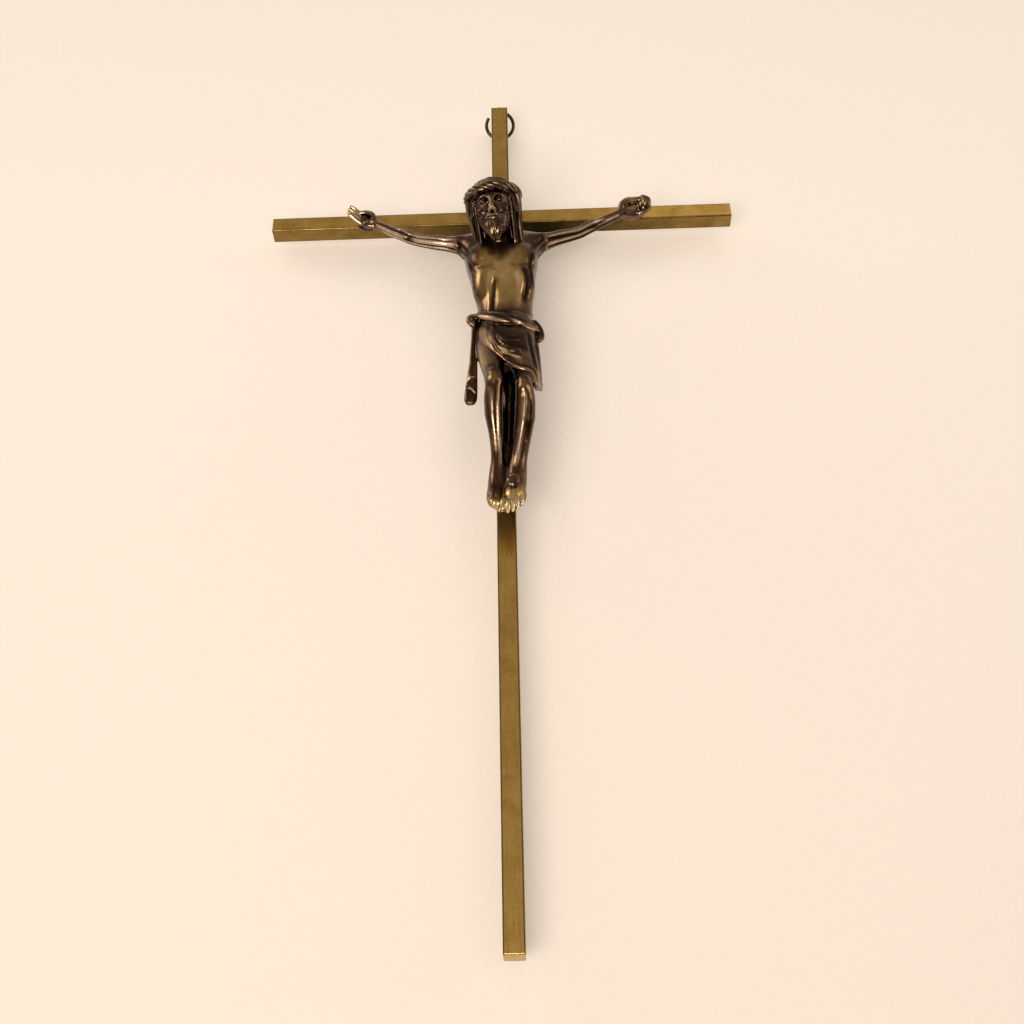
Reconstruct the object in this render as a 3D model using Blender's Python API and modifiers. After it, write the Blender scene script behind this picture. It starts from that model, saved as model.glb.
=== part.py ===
"""Wall crucifix: a square-bar brass cross, a cast corpus in three castings, its nails and a hanging ring.

World frame: metres, +Z up, +X to the viewer's right, +Y towards the wall. The origin is the centre of
the crossing on the back face of the bars, so the bars fill Y = -BAR to 0 and the figure stands in
front of them. Anatomy is written in millimetres and scaled by MM.
"""
import math

import bmesh
import bpy
from mathutils import Matrix, Vector

MM = 0.001
OBJECT_NAME = "wall_crucifix"

# Bars: 3/16 inch square brass
BAR = 0.0047625
UPRIGHT_LENGTH = 0.254
CROSSBAR_LENGTH = 0.130
CROSSING_HEIGHT = 0.2087
BAR_EDGE = 0.00030
LAP_GAP = 0.00010

# Figure: everything behind this plane is cut flat, so that the castings sit against the bars
FIGURE_BACK = -BAR - 0.00030
SEAM_X = 0.0118
SEAM_GAP = 0.00010
SPIGOT_RADIUS = 0.0012
SPIGOT_LENGTH = 0.0024
SPIGOT_CLEARANCE = 0.00010
SHOULDER = (-0.0108, -0.0161)

# Nails
NAIL_HEAD_RADIUS = 0.0016
NAIL_HEAD_HEIGHT = 0.0011
NAIL_SHANK_RADIUS = 0.0006
NAIL_HOLE_RADIUS = 0.0007
NAIL_TAIL_INSET = 0.0002
LEFT_PALM = (-0.0382, -0.0087, -0.0034)
RIGHT_PALM = (0.0376, -0.0087, -0.0010)
FOOT_NAIL = (0.0018, -0.0147, -0.0972)
FOOT_NAIL_SLANT = math.radians(5.0)
FOOT_NAIL_LENGTH = 0.0130

# Hanger: an eye pin in the top end and an open ring through it
EYE_WIRE = 0.00040
EYE_HOLE = 0.00085
EYE_RISE = 0.00165
PIN_DEPTH = 0.0050
PIN_HOLE_RADIUS = 0.00048
RING_WIRE = 0.00050
RING_RADIUS = 0.00405
RING_LEAN = math.radians(30.5)
RING_GAP_START = math.radians(30.0)
RING_GAP_END = math.radians(54.0)

UPRIGHT_TOP = UPRIGHT_LENGTH - CROSSING_HEIGHT
UPRIGHT_CENTRE = UPRIGHT_TOP - UPRIGHT_LENGTH / 2
MIDDLE = -BAR / 2
EYE_RADIUS = EYE_HOLE + EYE_WIRE
EYE_CENTRE = Vector((0.0, MIDDLE + EYE_RADIUS, UPRIGHT_TOP + EYE_RISE + 0.0001))

# Corpus, millimetres. Torso rings, level: height, centre x, centre y, half width, half depth
TORSO = [
    (-13.2, -0.3, -12.0, 4.6, 3.4),
    (-15.2, 0.0, -11.2, 9.2, 4.3),
    (-18.5, 0.0, -10.9, 11.0, 5.4),
    (-22.0, 0.0, -11.1, 10.4, 6.2),
    (-26.5, 0.1, -11.3, 9.3, 6.3),
    (-32.0, 0.4, -11.2, 8.2, 5.9),
    (-38.0, 0.7, -10.9, 7.3, 5.4),
    (-43.0, 1.0, -10.7, 7.1, 5.3),
    (-48.0, 1.2, -10.9, 7.5, 5.8),
    (-54.0, 1.4, -11.4, 7.9, 6.2),
    (-59.0, 1.5, -12.2, 6.4, 5.4),
]
# Limbs: centre x, y, z and radius at each joint
SHOULDERS = [(-13.0, -10.8, -16.0, 2.1), (-8.5, -10.9, -16.8, 3.3), (8.5, -10.9, -16.8, 3.3),
             (13.0, -10.8, -16.0, 2.1)]
NECK = [(0.0, -11.5, -17.0, 4.0), (-0.8, -15.5, -12.5, 3.6), (-1.4, -18.0, -10.5, 4.0)]
LEFT_LEG = [(-2.8, -11.6, -52.5, 4.3), (-2.7, -14.4, -58.5, 3.6), (-2.4, -17.6, -64.5, 2.9),
            (-2.0, -20.4, -71.4, 2.2), (-2.3, -18.7, -76.0, 2.2), (-2.2, -16.4, -80.5, 1.9),
            (-1.9, -13.6, -85.8, 1.6), (-1.8, -11.2, -91.0, 1.6)]
RIGHT_LEG = [(5.0, -11.6, -53.0, 4.5), (5.4, -14.6, -61.0, 3.6), (5.6, -17.8, -67.8, 2.8),
             (5.4, -20.5, -74.0, 2.2), (5.5, -18.8, -77.4, 2.3), (5.1, -16.9, -81.0, 2.2),
             (4.2, -14.6, -86.0, 2.0), (3.0, -12.1, -92.0, 2.1)]
# The thin wall of metal left between the shins
WEB = [(2.0, -13.6, -64.0, 2.6), (1.6, -13.2, -76.5, 2.1), (1.1, -11.8, -84.0, 1.6),
       (0.8, -10.8, -90.0, 1.3)]
# Feet and cloth rings: height, centre x, centre y, half width, half depth
LEFT_FOOT = [(-88.0, -1.7, -11.0, 1.6, 1.9), (-92.5, -2.0, -9.6, 2.0, 2.4), (-98.0, -2.1, -9.3, 2.2, 2.2),
             (-101.5, -1.8, -10.3, 2.1, 1.6), (-103.6, -1.5, -11.3, 1.5, 1.1)]
RIGHT_FOOT = [(-89.0, 2.9, -12.1, 2.2, 2.1), (-93.0, 2.4, -11.6, 2.6, 2.8), (-98.5, 1.8, -11.9, 3.0, 2.4),
              (-103.5, 1.4, -13.4, 3.1, 1.6), (-106.0, 1.2, -14.4, 2.3, 1.1)]
LOINCLOTH = [(-46.6, 1.0, -11.2, 7.5, 6.2), (-49.5, 1.3, -11.5, 8.2, 7.2), (-56.0, 1.7, -12.2, 8.3, 7.6),
             (-61.5, 3.2, -13.5, 6.7, 7.4), (-66.0, 4.8, -14.8, 5.0, 6.6), (-70.3, 6.3, -15.4, 3.1, 4.6)]
CLOTH_TAIL = [(-45.5, -7.9, -13.0, 1.2, 1.3), (-50.0, -7.8, -12.8, 1.3, 1.2), (-62.0, -8.0, -12.8, 1.7, 1.2),
              (-71.0, -8.1, -12.8, 1.9, 1.2), (-72.6, -8.2, -12.8, 1.4, 0.9)]
KNOTS = [((-7.8, -13.4, -46.2), (1.8, 1.7, 1.8)), ((9.0, -13.2, -49.6), (1.7, 1.7, 2.6))]

# Head, in its own frame: x to the viewer's right, y backwards, z to the crown, about its centre
HEAD_CENTRE = (-1.55, -20.4, -12.4)
HEAD_BOW = math.radians(18.0)
HEAD_ROLL = math.radians(-5.5)
HEAD_TURN = math.radians(-8.0)
HEAD_BALLS = [((0.0, 0.2, 1.8), (6.2, 6.8, 6.6)), ((0.0, -1.4, -2.4), (4.5, 4.9, 6.2)),
              ((0.0, -3.8, -6.6), (2.5, 2.6, 3.0)), ((0.0, 1.0, 2.6), (7.2, 7.0, 6.2)),
              ((0.0, -6.3, -1.4), (0.8, 0.9, 1.9))]
CROWN_RADII = (7.1, 7.0, 1.1)
CROWN_HEIGHT = 4.4
HAIR_LOCKS = [[(-5.7, 0.5, 3.0, 2.0), (-5.4, 1.5, -3.5, 1.6), (-5.6, 3.7, -9.2, 1.1)],
              [(5.8, 0.5, 3.0, 2.0), (5.4, 1.5, -3.5, 1.7), (5.6, 3.7, -9.6, 1.2)]]

# Arms: centre x, y, z and radius, from the shoulder seam to the palm, then the four fingers
LEFT_ARM = [(-8.5, -10.9, -16.8, 3.3), (-13.0, -10.8, -16.0, 2.1), (-17.7, -10.5, -14.7, 1.95),
            (-22.8, -9.9, -13.0, 1.6), (-26.3, -9.6, -11.1, 1.6), (-30.0, -9.0, -8.8, 1.45),
            (-34.8, -8.0, -5.0, 1.25)]
RIGHT_ARM = [(8.5, -10.9, -16.8, 3.3), (13.0, -10.8, -16.0, 2.1), (16.8, -10.5, -14.3, 1.95),
             (21.4, -9.9, -12.3, 1.6), (24.6, -9.6, -10.3, 1.6), (28.0, -9.0, -8.0, 1.4),
             (32.8, -8.0, -4.6, 1.25)]
PALM_HALF = (2.4, 1.05, 1.9)
FINGER_RADIUS = 0.52
FINGER_PITCH = 0.95
FINGER_LENGTH = 5.2
LEFT_HAND_TURN = math.radians(153.0)
RIGHT_HAND_TURN = math.radians(24.0)

# Looks
BRASS = ((0.36, 0.24, 0.09), 0.38)
BRONZE = ((0.16, 0.10, 0.05), 0.34)
DARK_STEEL = ((0.07, 0.055, 0.045), 0.40)

LOFT_SIDES = 24


# ---------------------------------------------------------------- helpers
def clear_scene():
    for obj in list(bpy.data.objects):
        bpy.data.objects.remove(obj, do_unlink=True)


def new_collection(name):
    collection = bpy.data.collections.new(name)
    bpy.context.scene.collection.children.link(collection)
    return collection


def make_material(name, look):
    colour, roughness = look
    material = bpy.data.materials.new(name)
    material.use_nodes = True
    shader = material.node_tree.nodes["Principled BSDF"]
    shader.inputs["Base Color"].default_value = (*colour, 1.0)
    shader.inputs["Metallic"].default_value = 1.0
    shader.inputs["Roughness"].default_value = roughness
    material.diffuse_color = (*colour, 1.0)
    return material


def add_object(name, mesh, collection, look=None):
    obj = bpy.data.objects.new(name, mesh)
    collection.objects.link(obj)
    if look:
        mesh.materials.append(make_material(name, look))
    return obj


def mesh_from(bm, name):
    bmesh.ops.recalc_face_normals(bm, faces=bm.faces)
    mesh = bpy.data.meshes.new(name)
    bm.to_mesh(mesh)
    bm.free()
    return mesh


def box_mesh(name, low, high):
    bm = bmesh.new()
    size = Vector(high) - Vector(low)
    centre = (Vector(high) + Vector(low)) / 2
    bmesh.ops.create_cube(bm, size=1.0, matrix=Matrix.Translation(centre) @ Matrix.Diagonal((*size, 1.0)))
    return mesh_from(bm, name)


def cylinder_mesh(name, radius, start, end, sides=24):
    """A cylinder whose axis runs from start to end."""
    start, end = Vector(start), Vector(end)
    along = end - start
    place = Matrix.Translation((start + end) / 2) @ along.to_track_quat("Z", "Y").to_matrix().to_4x4()
    bm = bmesh.new()
    bmesh.ops.create_cone(bm, cap_ends=True, segments=sides, radius1=radius, radius2=radius,
                          depth=along.length, matrix=place)
    return mesh_from(bm, name)


def cutter(name, mesh, cutters):
    obj = add_object(name, mesh, cutters)
    obj.hide_render = True
    obj.display_type = "WIRE"
    return obj


def cut(obj, tool):
    boolean = obj.modifiers.new("cut_" + tool.name, "BOOLEAN")
    boolean.operation = "DIFFERENCE"
    boolean.solver = "EXACT"
    boolean.object = tool


def add_ball(bm, place, centre, half):
    """An ellipsoid, in millimetres, in the frame that place gives."""
    matrix = place @ Matrix.Translation(Vector(centre) * MM) @ Matrix.Diagonal((*(Vector(half) * MM), 1.0))
    bmesh.ops.create_uvsphere(bm, u_segments=20, v_segments=12, radius=1.0, matrix=matrix)


def add_loft(bm, place, rings):
    """A closed tube through rings, each a list of points in millimetres."""
    loops = [[bm.verts.new(place @ (point * MM)) for point in ring] for ring in rings]
    for low, high in zip(loops, loops[1:]):
        for i in range(LOFT_SIDES):
            j = (i + 1) % LOFT_SIDES
            bm.faces.new((low[i], low[j], high[j], high[i]))
    bm.faces.new(loops[0])
    bm.faces.new(loops[-1])


def add_level_loft(bm, stations):
    """Level elliptical rings: height, centre x, centre y, half width, half depth."""
    rings = []
    for z, x, y, half_x, half_y in stations:
        turns = [2 * math.pi * i / LOFT_SIDES for i in range(LOFT_SIDES)]
        rings.append([Vector((x + half_x * math.cos(t), y + half_y * math.sin(t), z)) for t in turns])
    add_loft(bm, Matrix.Identity(4), rings)


def add_limb(bm, place, joints):
    """A round tube through joints (x, y, z, radius), with a ball at each joint."""
    centres = [Vector(joint[:3]) for joint in joints]
    for i, (joint, centre) in enumerate(zip(joints, centres)):
        add_ball(bm, place, centre, (joint[3],) * 3)
        if i + 1 == len(joints):
            break
        side = (centres[i + 1] - centre).to_track_quat("Z", "Y").to_matrix()
        rings = []
        for end, radius in ((centre, joint[3]), (centres[i + 1], joints[i + 1][3])):
            turns = [2 * math.pi * k / LOFT_SIDES for k in range(LOFT_SIDES)]
            rings.append([end + side @ Vector((math.cos(t), math.sin(t), 0.0)) * radius for t in turns])
        add_loft(bm, place, rings)


def add_hand(bm, palm, turn, mirror):
    """A slightly cupped open hand, lying flat against the crossbar, fingers along turn."""
    back = Matrix.Translation((palm[0], FIGURE_BACK - PALM_HALF[1] * MM * 0.9, palm[2]))
    place = back @ Matrix.Rotation(-turn, 4, "Y") @ Matrix.Diagonal((1.0, 1.0, mirror, 1.0))
    add_ball(bm, place, (0.0, 0.0, 0.0), PALM_HALF)
    for finger in range(4):
        z = (finger - 1.5) * FINGER_PITCH
        reach = FINGER_LENGTH - 0.35 * abs(finger - 1.4)
        add_limb(bm, place, [(0.8, 0.0, z * 0.9, FINGER_RADIUS), (reach * 0.65, -0.5, z, FINGER_RADIUS),
                             (reach, -1.9, z * 0.92, FINGER_RADIUS * 0.9)])
    add_limb(bm, place, [(-1.2, -0.2, 1.5, 0.7), (0.9, -0.9, 2.3, 0.55)])


def fuse(obj, voxel, smooth_rounds, keep):
    """Merge overlapping closed forms into one smooth closed body."""
    remesh = obj.modifiers.new("fuse", "REMESH")
    remesh.mode = "VOXEL"
    remesh.voxel_size = voxel
    smooth = obj.modifiers.new("smooth", "SMOOTH")
    smooth.factor = 0.5
    smooth.iterations = smooth_rounds
    decimate = obj.modifiers.new("thin_out", "DECIMATE")
    decimate.ratio = keep


# ---------------------------------------------------------------- bars
def make_bar(name, low, high, parts):
    bar = add_object(name, box_mesh(name, low, high), parts, BRASS)
    bevel = bar.modifiers.new("edges", "BEVEL")
    bevel.width = BAR_EDGE
    bevel.segments = 3
    return bar


def make_upright(parts, cutters):
    bar = make_bar("upright_bar", (-BAR / 2, -BAR, UPRIGHT_TOP - UPRIGHT_LENGTH), (BAR / 2, 0.0, UPRIGHT_TOP),
                   parts)
    half = BAR / 2 + LAP_GAP
    notch = box_mesh("upright_lap", (-BAR, MIDDLE - LAP_GAP / 2, -half), (BAR, BAR, half))
    cut(bar, cutter("upright_lap", notch, cutters))
    top = (0.0, MIDDLE, UPRIGHT_TOP)
    pin_hole = cylinder_mesh("pin_hole", PIN_HOLE_RADIUS, (top[0], top[1], top[2] - PIN_DEPTH - 0.0003),
                             (top[0], top[1], top[2] + 0.001))
    cut(bar, cutter("pin_hole", pin_hole, cutters))


def make_crossbar(parts, cutters):
    half_length = CROSSBAR_LENGTH / 2
    bar = make_bar("crossbar", (-half_length, -BAR, -BAR / 2), (half_length, 0.0, BAR / 2), parts)
    half = BAR / 2 + LAP_GAP
    notch = box_mesh("crossbar_lap", (-half, -2 * BAR, -BAR), (half, MIDDLE + LAP_GAP / 2, BAR))
    cut(bar, cutter("crossbar_lap", notch, cutters))


# ---------------------------------------------------------------- nails
def nail_path(head, slant, length):
    """The points under the head and at the tail of a nail."""
    head = Vector(head)
    return head, head + Vector((-math.sin(slant), math.cos(slant), 0.0)) * length


def make_nail(name, head, slant, length, parts):
    """A domed nail turned from its profile, head towards the viewer."""
    tail_chamfer = NAIL_SHANK_RADIUS * 0.4
    dome_steps = 6
    profile = [(0.0, NAIL_HEAD_HEIGHT)]
    for step in range(1, dome_steps + 1):
        turn = step / dome_steps * math.pi / 2
        profile.append((NAIL_HEAD_RADIUS * math.sin(turn), NAIL_HEAD_HEIGHT * math.cos(turn)))
    profile += [(NAIL_HEAD_RADIUS * 0.9, -0.0002), (NAIL_SHANK_RADIUS, -0.0002),
                (NAIL_SHANK_RADIUS, -length + tail_chamfer), (NAIL_SHANK_RADIUS - tail_chamfer, -length),
                (0.0, -length)]
    bm = bmesh.new()
    points = [bm.verts.new((radius, 0.0, height)) for radius, height in profile]
    for first, second in zip(points, points[1:]):
        bm.edges.new((first, second))
    mesh = bpy.data.meshes.new(name)
    bm.to_mesh(mesh)
    bm.free()
    nail = add_object(name, mesh, parts, DARK_STEEL)
    screw = nail.modifiers.new("turn", "SCREW")
    screw.steps = 24
    screw.render_steps = 24
    screw.use_merge_vertices = True
    screw.merge_threshold = 0.00001
    nail.location = head
    nail.rotation_euler = (math.pi / 2, 0.0, slant)


def make_nails(parts, cutters):
    """Three nails; returns the drills that cut the hands, the feet and the bars."""
    upright = bpy.data.objects["upright_bar"]
    crossbar = bpy.data.objects["crossbar"]
    through = -LEFT_PALM[1] - NAIL_TAIL_INSET
    plan = [("right_hand_nail", LEFT_PALM, 0.0, through, crossbar),
            ("left_hand_nail", RIGHT_PALM, 0.0, through, crossbar),
            ("foot_nail", FOOT_NAIL, FOOT_NAIL_SLANT, FOOT_NAIL_LENGTH, upright)]
    drills = {}
    for name, head, slant, length, bar in plan:
        make_nail(name, head, slant, length, parts)
        start, end = nail_path(head, slant, length + 0.0006)
        reach = (end - start).normalized() * 0.004
        drill = cylinder_mesh(name + "_drill", NAIL_HOLE_RADIUS, start - reach, end)
        drills[name] = cutter(name + "_drill", drill, cutters)
        cut(bar, drills[name])
    return drills


def head_recess(name, head, slant, cutters):
    """Room for a nail's head and what is in front of it."""
    start, end = nail_path(head, slant, 0.0004)
    forward = (start - end).normalized() * 0.006
    recess = cylinder_mesh(name + "_seat", NAIL_HEAD_RADIUS + 0.0002, start + forward, end)
    return cutter(name + "_seat", recess, cutters)


# ---------------------------------------------------------------- figure
def make_body(parts, cutters, drill):
    bm = bmesh.new()
    still = Matrix.Identity(4)
    add_level_loft(bm, TORSO)
    add_level_loft(bm, LOINCLOTH)
    add_level_loft(bm, CLOTH_TAIL)
    add_level_loft(bm, LEFT_FOOT)
    add_level_loft(bm, RIGHT_FOOT)
    for joints in (SHOULDERS, NECK, LEFT_LEG, RIGHT_LEG, WEB):
        add_limb(bm, still, joints)
    for centre, half in KNOTS:
        add_ball(bm, still, centre, half)
    add_head(bm)
    body = add_object("corpus_body", mesh_from(bm, "corpus_body"), parts, BRONZE)
    fuse(body, 0.00040, 3, 0.065)
    back = box_mesh("body_back", (-0.04, FIGURE_BACK, -0.13), (0.04, 0.03, 0.03))
    cut(body, cutter("body_back", back, cutters))
    for side, name in ((-1, "right"), (1, "left")):
        seam = side * (SEAM_X - SEAM_GAP / 2)
        far = side * 0.03
        end = box_mesh(name + "_seam", (min(seam, far), -0.03, -0.021), (max(seam, far), 0.0, -0.009))
        cut(body, cutter(name + "_seam", end, cutters))
        socket = cylinder_mesh(name + "_socket", SPIGOT_RADIUS + SPIGOT_CLEARANCE,
                               (side * (SEAM_X + 0.002), *SHOULDER),
                               (side * (SEAM_X - SPIGOT_LENGTH - 0.0003), *SHOULDER))
        cut(body, cutter(name + "_socket", socket, cutters))
    cut(body, drill)
    cut(body, head_recess("foot_nail", FOOT_NAIL, FOOT_NAIL_SLANT, cutters))


def add_head(bm):
    turn = (Matrix.Rotation(HEAD_ROLL, 4, "Y") @ Matrix.Rotation(HEAD_BOW, 4, "X")
            @ Matrix.Rotation(HEAD_TURN, 4, "Z"))
    place = Matrix.Translation(Vector(HEAD_CENTRE) * MM) @ turn
    for centre, half in HEAD_BALLS:
        add_ball(bm, place, centre, half)
    for lock in HAIR_LOCKS:
        add_limb(bm, place, lock)
    band = []
    for i in range(17):
        angle = 2 * math.pi * i / 16
        band.append((CROWN_RADII[0] * math.cos(angle), 0.6 + CROWN_RADII[1] * math.sin(angle),
                     CROWN_HEIGHT + 0.6 * math.sin(angle), CROWN_RADII[2]))
    add_limb(bm, place, band)


def make_arm(name, side, joints, palm, turn, mirror, parts, cutters, drill):
    bm = bmesh.new()
    still = Matrix.Identity(4)
    add_limb(bm, still, joints)
    wrist = joints[-1]
    add_limb(bm, still, [wrist, (palm[0] / MM, FIGURE_BACK / MM - 1.1, palm[2] / MM, 1.1)])
    add_hand(bm, palm, turn, mirror)
    arm = add_object(name, mesh_from(bm, name), parts, BRONZE)
    fuse(arm, 0.00024, 2, 0.10)
    back = box_mesh(name + "_back", (-0.06, FIGURE_BACK, -0.03), (0.06, 0.03, 0.03))
    cut(arm, cutter(name + "_back", back, cutters))
    trim_to_seam(arm, name, side, cutters)
    cut(arm, drill)
    cut(arm, head_recess(drill.name.replace("_drill", ""), palm, 0.0, cutters))


def trim_to_seam(arm, name, side, cutters):
    """Cut the arm's root flat at the seam and leave the spigot that enters the body."""
    seam = side * (SEAM_X + SEAM_GAP / 2)
    near = side * 0.004
    block = box_mesh(name + "_root", (min(seam, near), -0.03, -0.03), (max(seam, near), 0.0, 0.0))
    cut(arm, cutter(name + "_root", block, cutters))
    spigot = cylinder_mesh(name + "_spigot", SPIGOT_RADIUS, (side * (SEAM_X - SPIGOT_LENGTH), *SHOULDER),
                           (side * (SEAM_X + 0.0015), *SHOULDER))
    join = arm.modifiers.new("spigot", "BOOLEAN")
    join.operation = "UNION"
    join.solver = "EXACT"
    join.object = cutter(name + "_spigot", spigot, cutters)


# ---------------------------------------------------------------- hanger
def wire_object(name, points, radius, look, collection, cyclic=False, place=None):
    curve = bpy.data.curves.new(name, "CURVE")
    curve.dimensions = "3D"
    curve.bevel_depth = radius
    curve.bevel_resolution = 3
    curve.use_fill_caps = True
    spline = curve.splines.new("POLY")
    spline.points.add(len(points) - 1)
    for target, point in zip(spline.points, points):
        target.co = (*point, 1.0)
    spline.use_cyclic_u = cyclic
    curve.materials.append(make_material(name, look))
    obj = bpy.data.objects.new(name, curve)
    collection.objects.link(obj)
    if place:
        obj.matrix_world = place
    return obj


def make_eye_pin(parts):
    """One wire: a straight shank in the top end, then a loop that closes back on to the shank."""
    loop_points = 28
    loop_turn = math.radians(318.0)
    bottom = UPRIGHT_TOP - PIN_DEPTH
    points = [Vector((0.0, MIDDLE, bottom)), Vector((0.0, MIDDLE, (bottom + EYE_CENTRE.z) / 2))]
    for i in range(loop_points + 1):
        angle = math.pi - loop_turn * i / loop_points
        points.append(EYE_CENTRE + Vector((0.0, math.cos(angle), math.sin(angle))) * EYE_RADIUS)
    wire_object("eye_pin", points, EYE_WIRE, BRASS, parts)


def make_ring(parts):
    """The open ring hangs from its top and leans back; its origin is on the eye's axis."""
    steps = 56
    turn = 2 * math.pi - (RING_GAP_END - RING_GAP_START)
    points = []
    for i in range(steps + 1):
        angle = RING_GAP_END + turn * i / steps
        points.append(Vector((-math.sin(angle), 0.0, math.cos(angle) - 1.0)) * RING_RADIUS)
    place = Matrix.Translation(EYE_CENTRE) @ Matrix.Rotation(RING_LEAN, 4, "X")
    wire_object("hanging_ring", points, RING_WIRE, DARK_STEEL, parts, place=place)


def main():
    clear_scene()
    parts = new_collection(OBJECT_NAME)
    cutters = new_collection("cutters")
    make_upright(parts, cutters)
    make_crossbar(parts, cutters)
    drills = make_nails(parts, cutters)
    make_body(parts, cutters, drills["foot_nail"])
    make_arm("right_arm", -1, LEFT_ARM, LEFT_PALM, LEFT_HAND_TURN, 1, parts, cutters,
             drills["right_hand_nail"])
    make_arm("left_arm", 1, RIGHT_ARM, RIGHT_PALM, RIGHT_HAND_TURN, 1, parts, cutters,
             drills["left_hand_nail"])
    make_eye_pin(parts)
    make_ring(parts)


main()
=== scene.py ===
"""Looks for the wall crucifix: camera, light, materials, and the corpus sculpted in detail.

The figure is modelled like clay: each piece is a block of signed distances, in millimetres, to which
limbs, muscles, folds and strands are added, and whose surface is then turned into an even quad mesh.
"""
import math

import bpy
import numpy as np
from mathutils import Matrix, Vector


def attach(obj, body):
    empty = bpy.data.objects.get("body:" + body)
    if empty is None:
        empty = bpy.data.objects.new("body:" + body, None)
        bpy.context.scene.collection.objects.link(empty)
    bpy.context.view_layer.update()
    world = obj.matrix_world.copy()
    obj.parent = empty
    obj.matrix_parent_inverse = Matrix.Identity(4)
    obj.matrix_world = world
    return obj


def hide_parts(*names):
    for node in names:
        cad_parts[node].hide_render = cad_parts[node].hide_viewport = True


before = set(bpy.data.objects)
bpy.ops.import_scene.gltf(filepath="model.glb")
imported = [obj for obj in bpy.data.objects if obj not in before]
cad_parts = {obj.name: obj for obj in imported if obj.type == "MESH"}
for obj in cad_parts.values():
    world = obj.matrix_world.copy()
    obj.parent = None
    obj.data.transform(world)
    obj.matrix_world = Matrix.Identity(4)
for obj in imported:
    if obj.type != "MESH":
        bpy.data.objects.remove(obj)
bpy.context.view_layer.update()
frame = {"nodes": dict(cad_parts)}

MM = 0.001
RELIEF = 0.75  # how much of its written height a ridge gets


# ---------------------------------------------------------------- clay
def smooth_min(a, b, blend):
    mix = np.clip(0.5 + 0.5 * (b - a) / blend, 0.0, 1.0)
    return b + (a - b) * mix - blend * mix * (1.0 - mix)


def spline(points, count):
    """Catmull-Rom through rows of numbers, sampled at count places."""
    points = np.array(points, float)
    padded = np.vstack([2 * points[0] - points[1], points, 2 * points[-1] - points[-2]])
    out = []
    for s in np.linspace(0.0, len(points) - 1.0, count):
        i = min(int(s), len(points) - 2)
        t = s - i
        p0, p1, p2, p3 = padded[i:i + 4]
        out.append(0.5 * (2 * p1 + (p2 - p0) * t + (2 * p0 - 5 * p1 + 4 * p2 - p3) * t ** 2
                          + (3 * p1 - p0 - 3 * p2 + p3) * t ** 3))
    return np.array(out)


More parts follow.
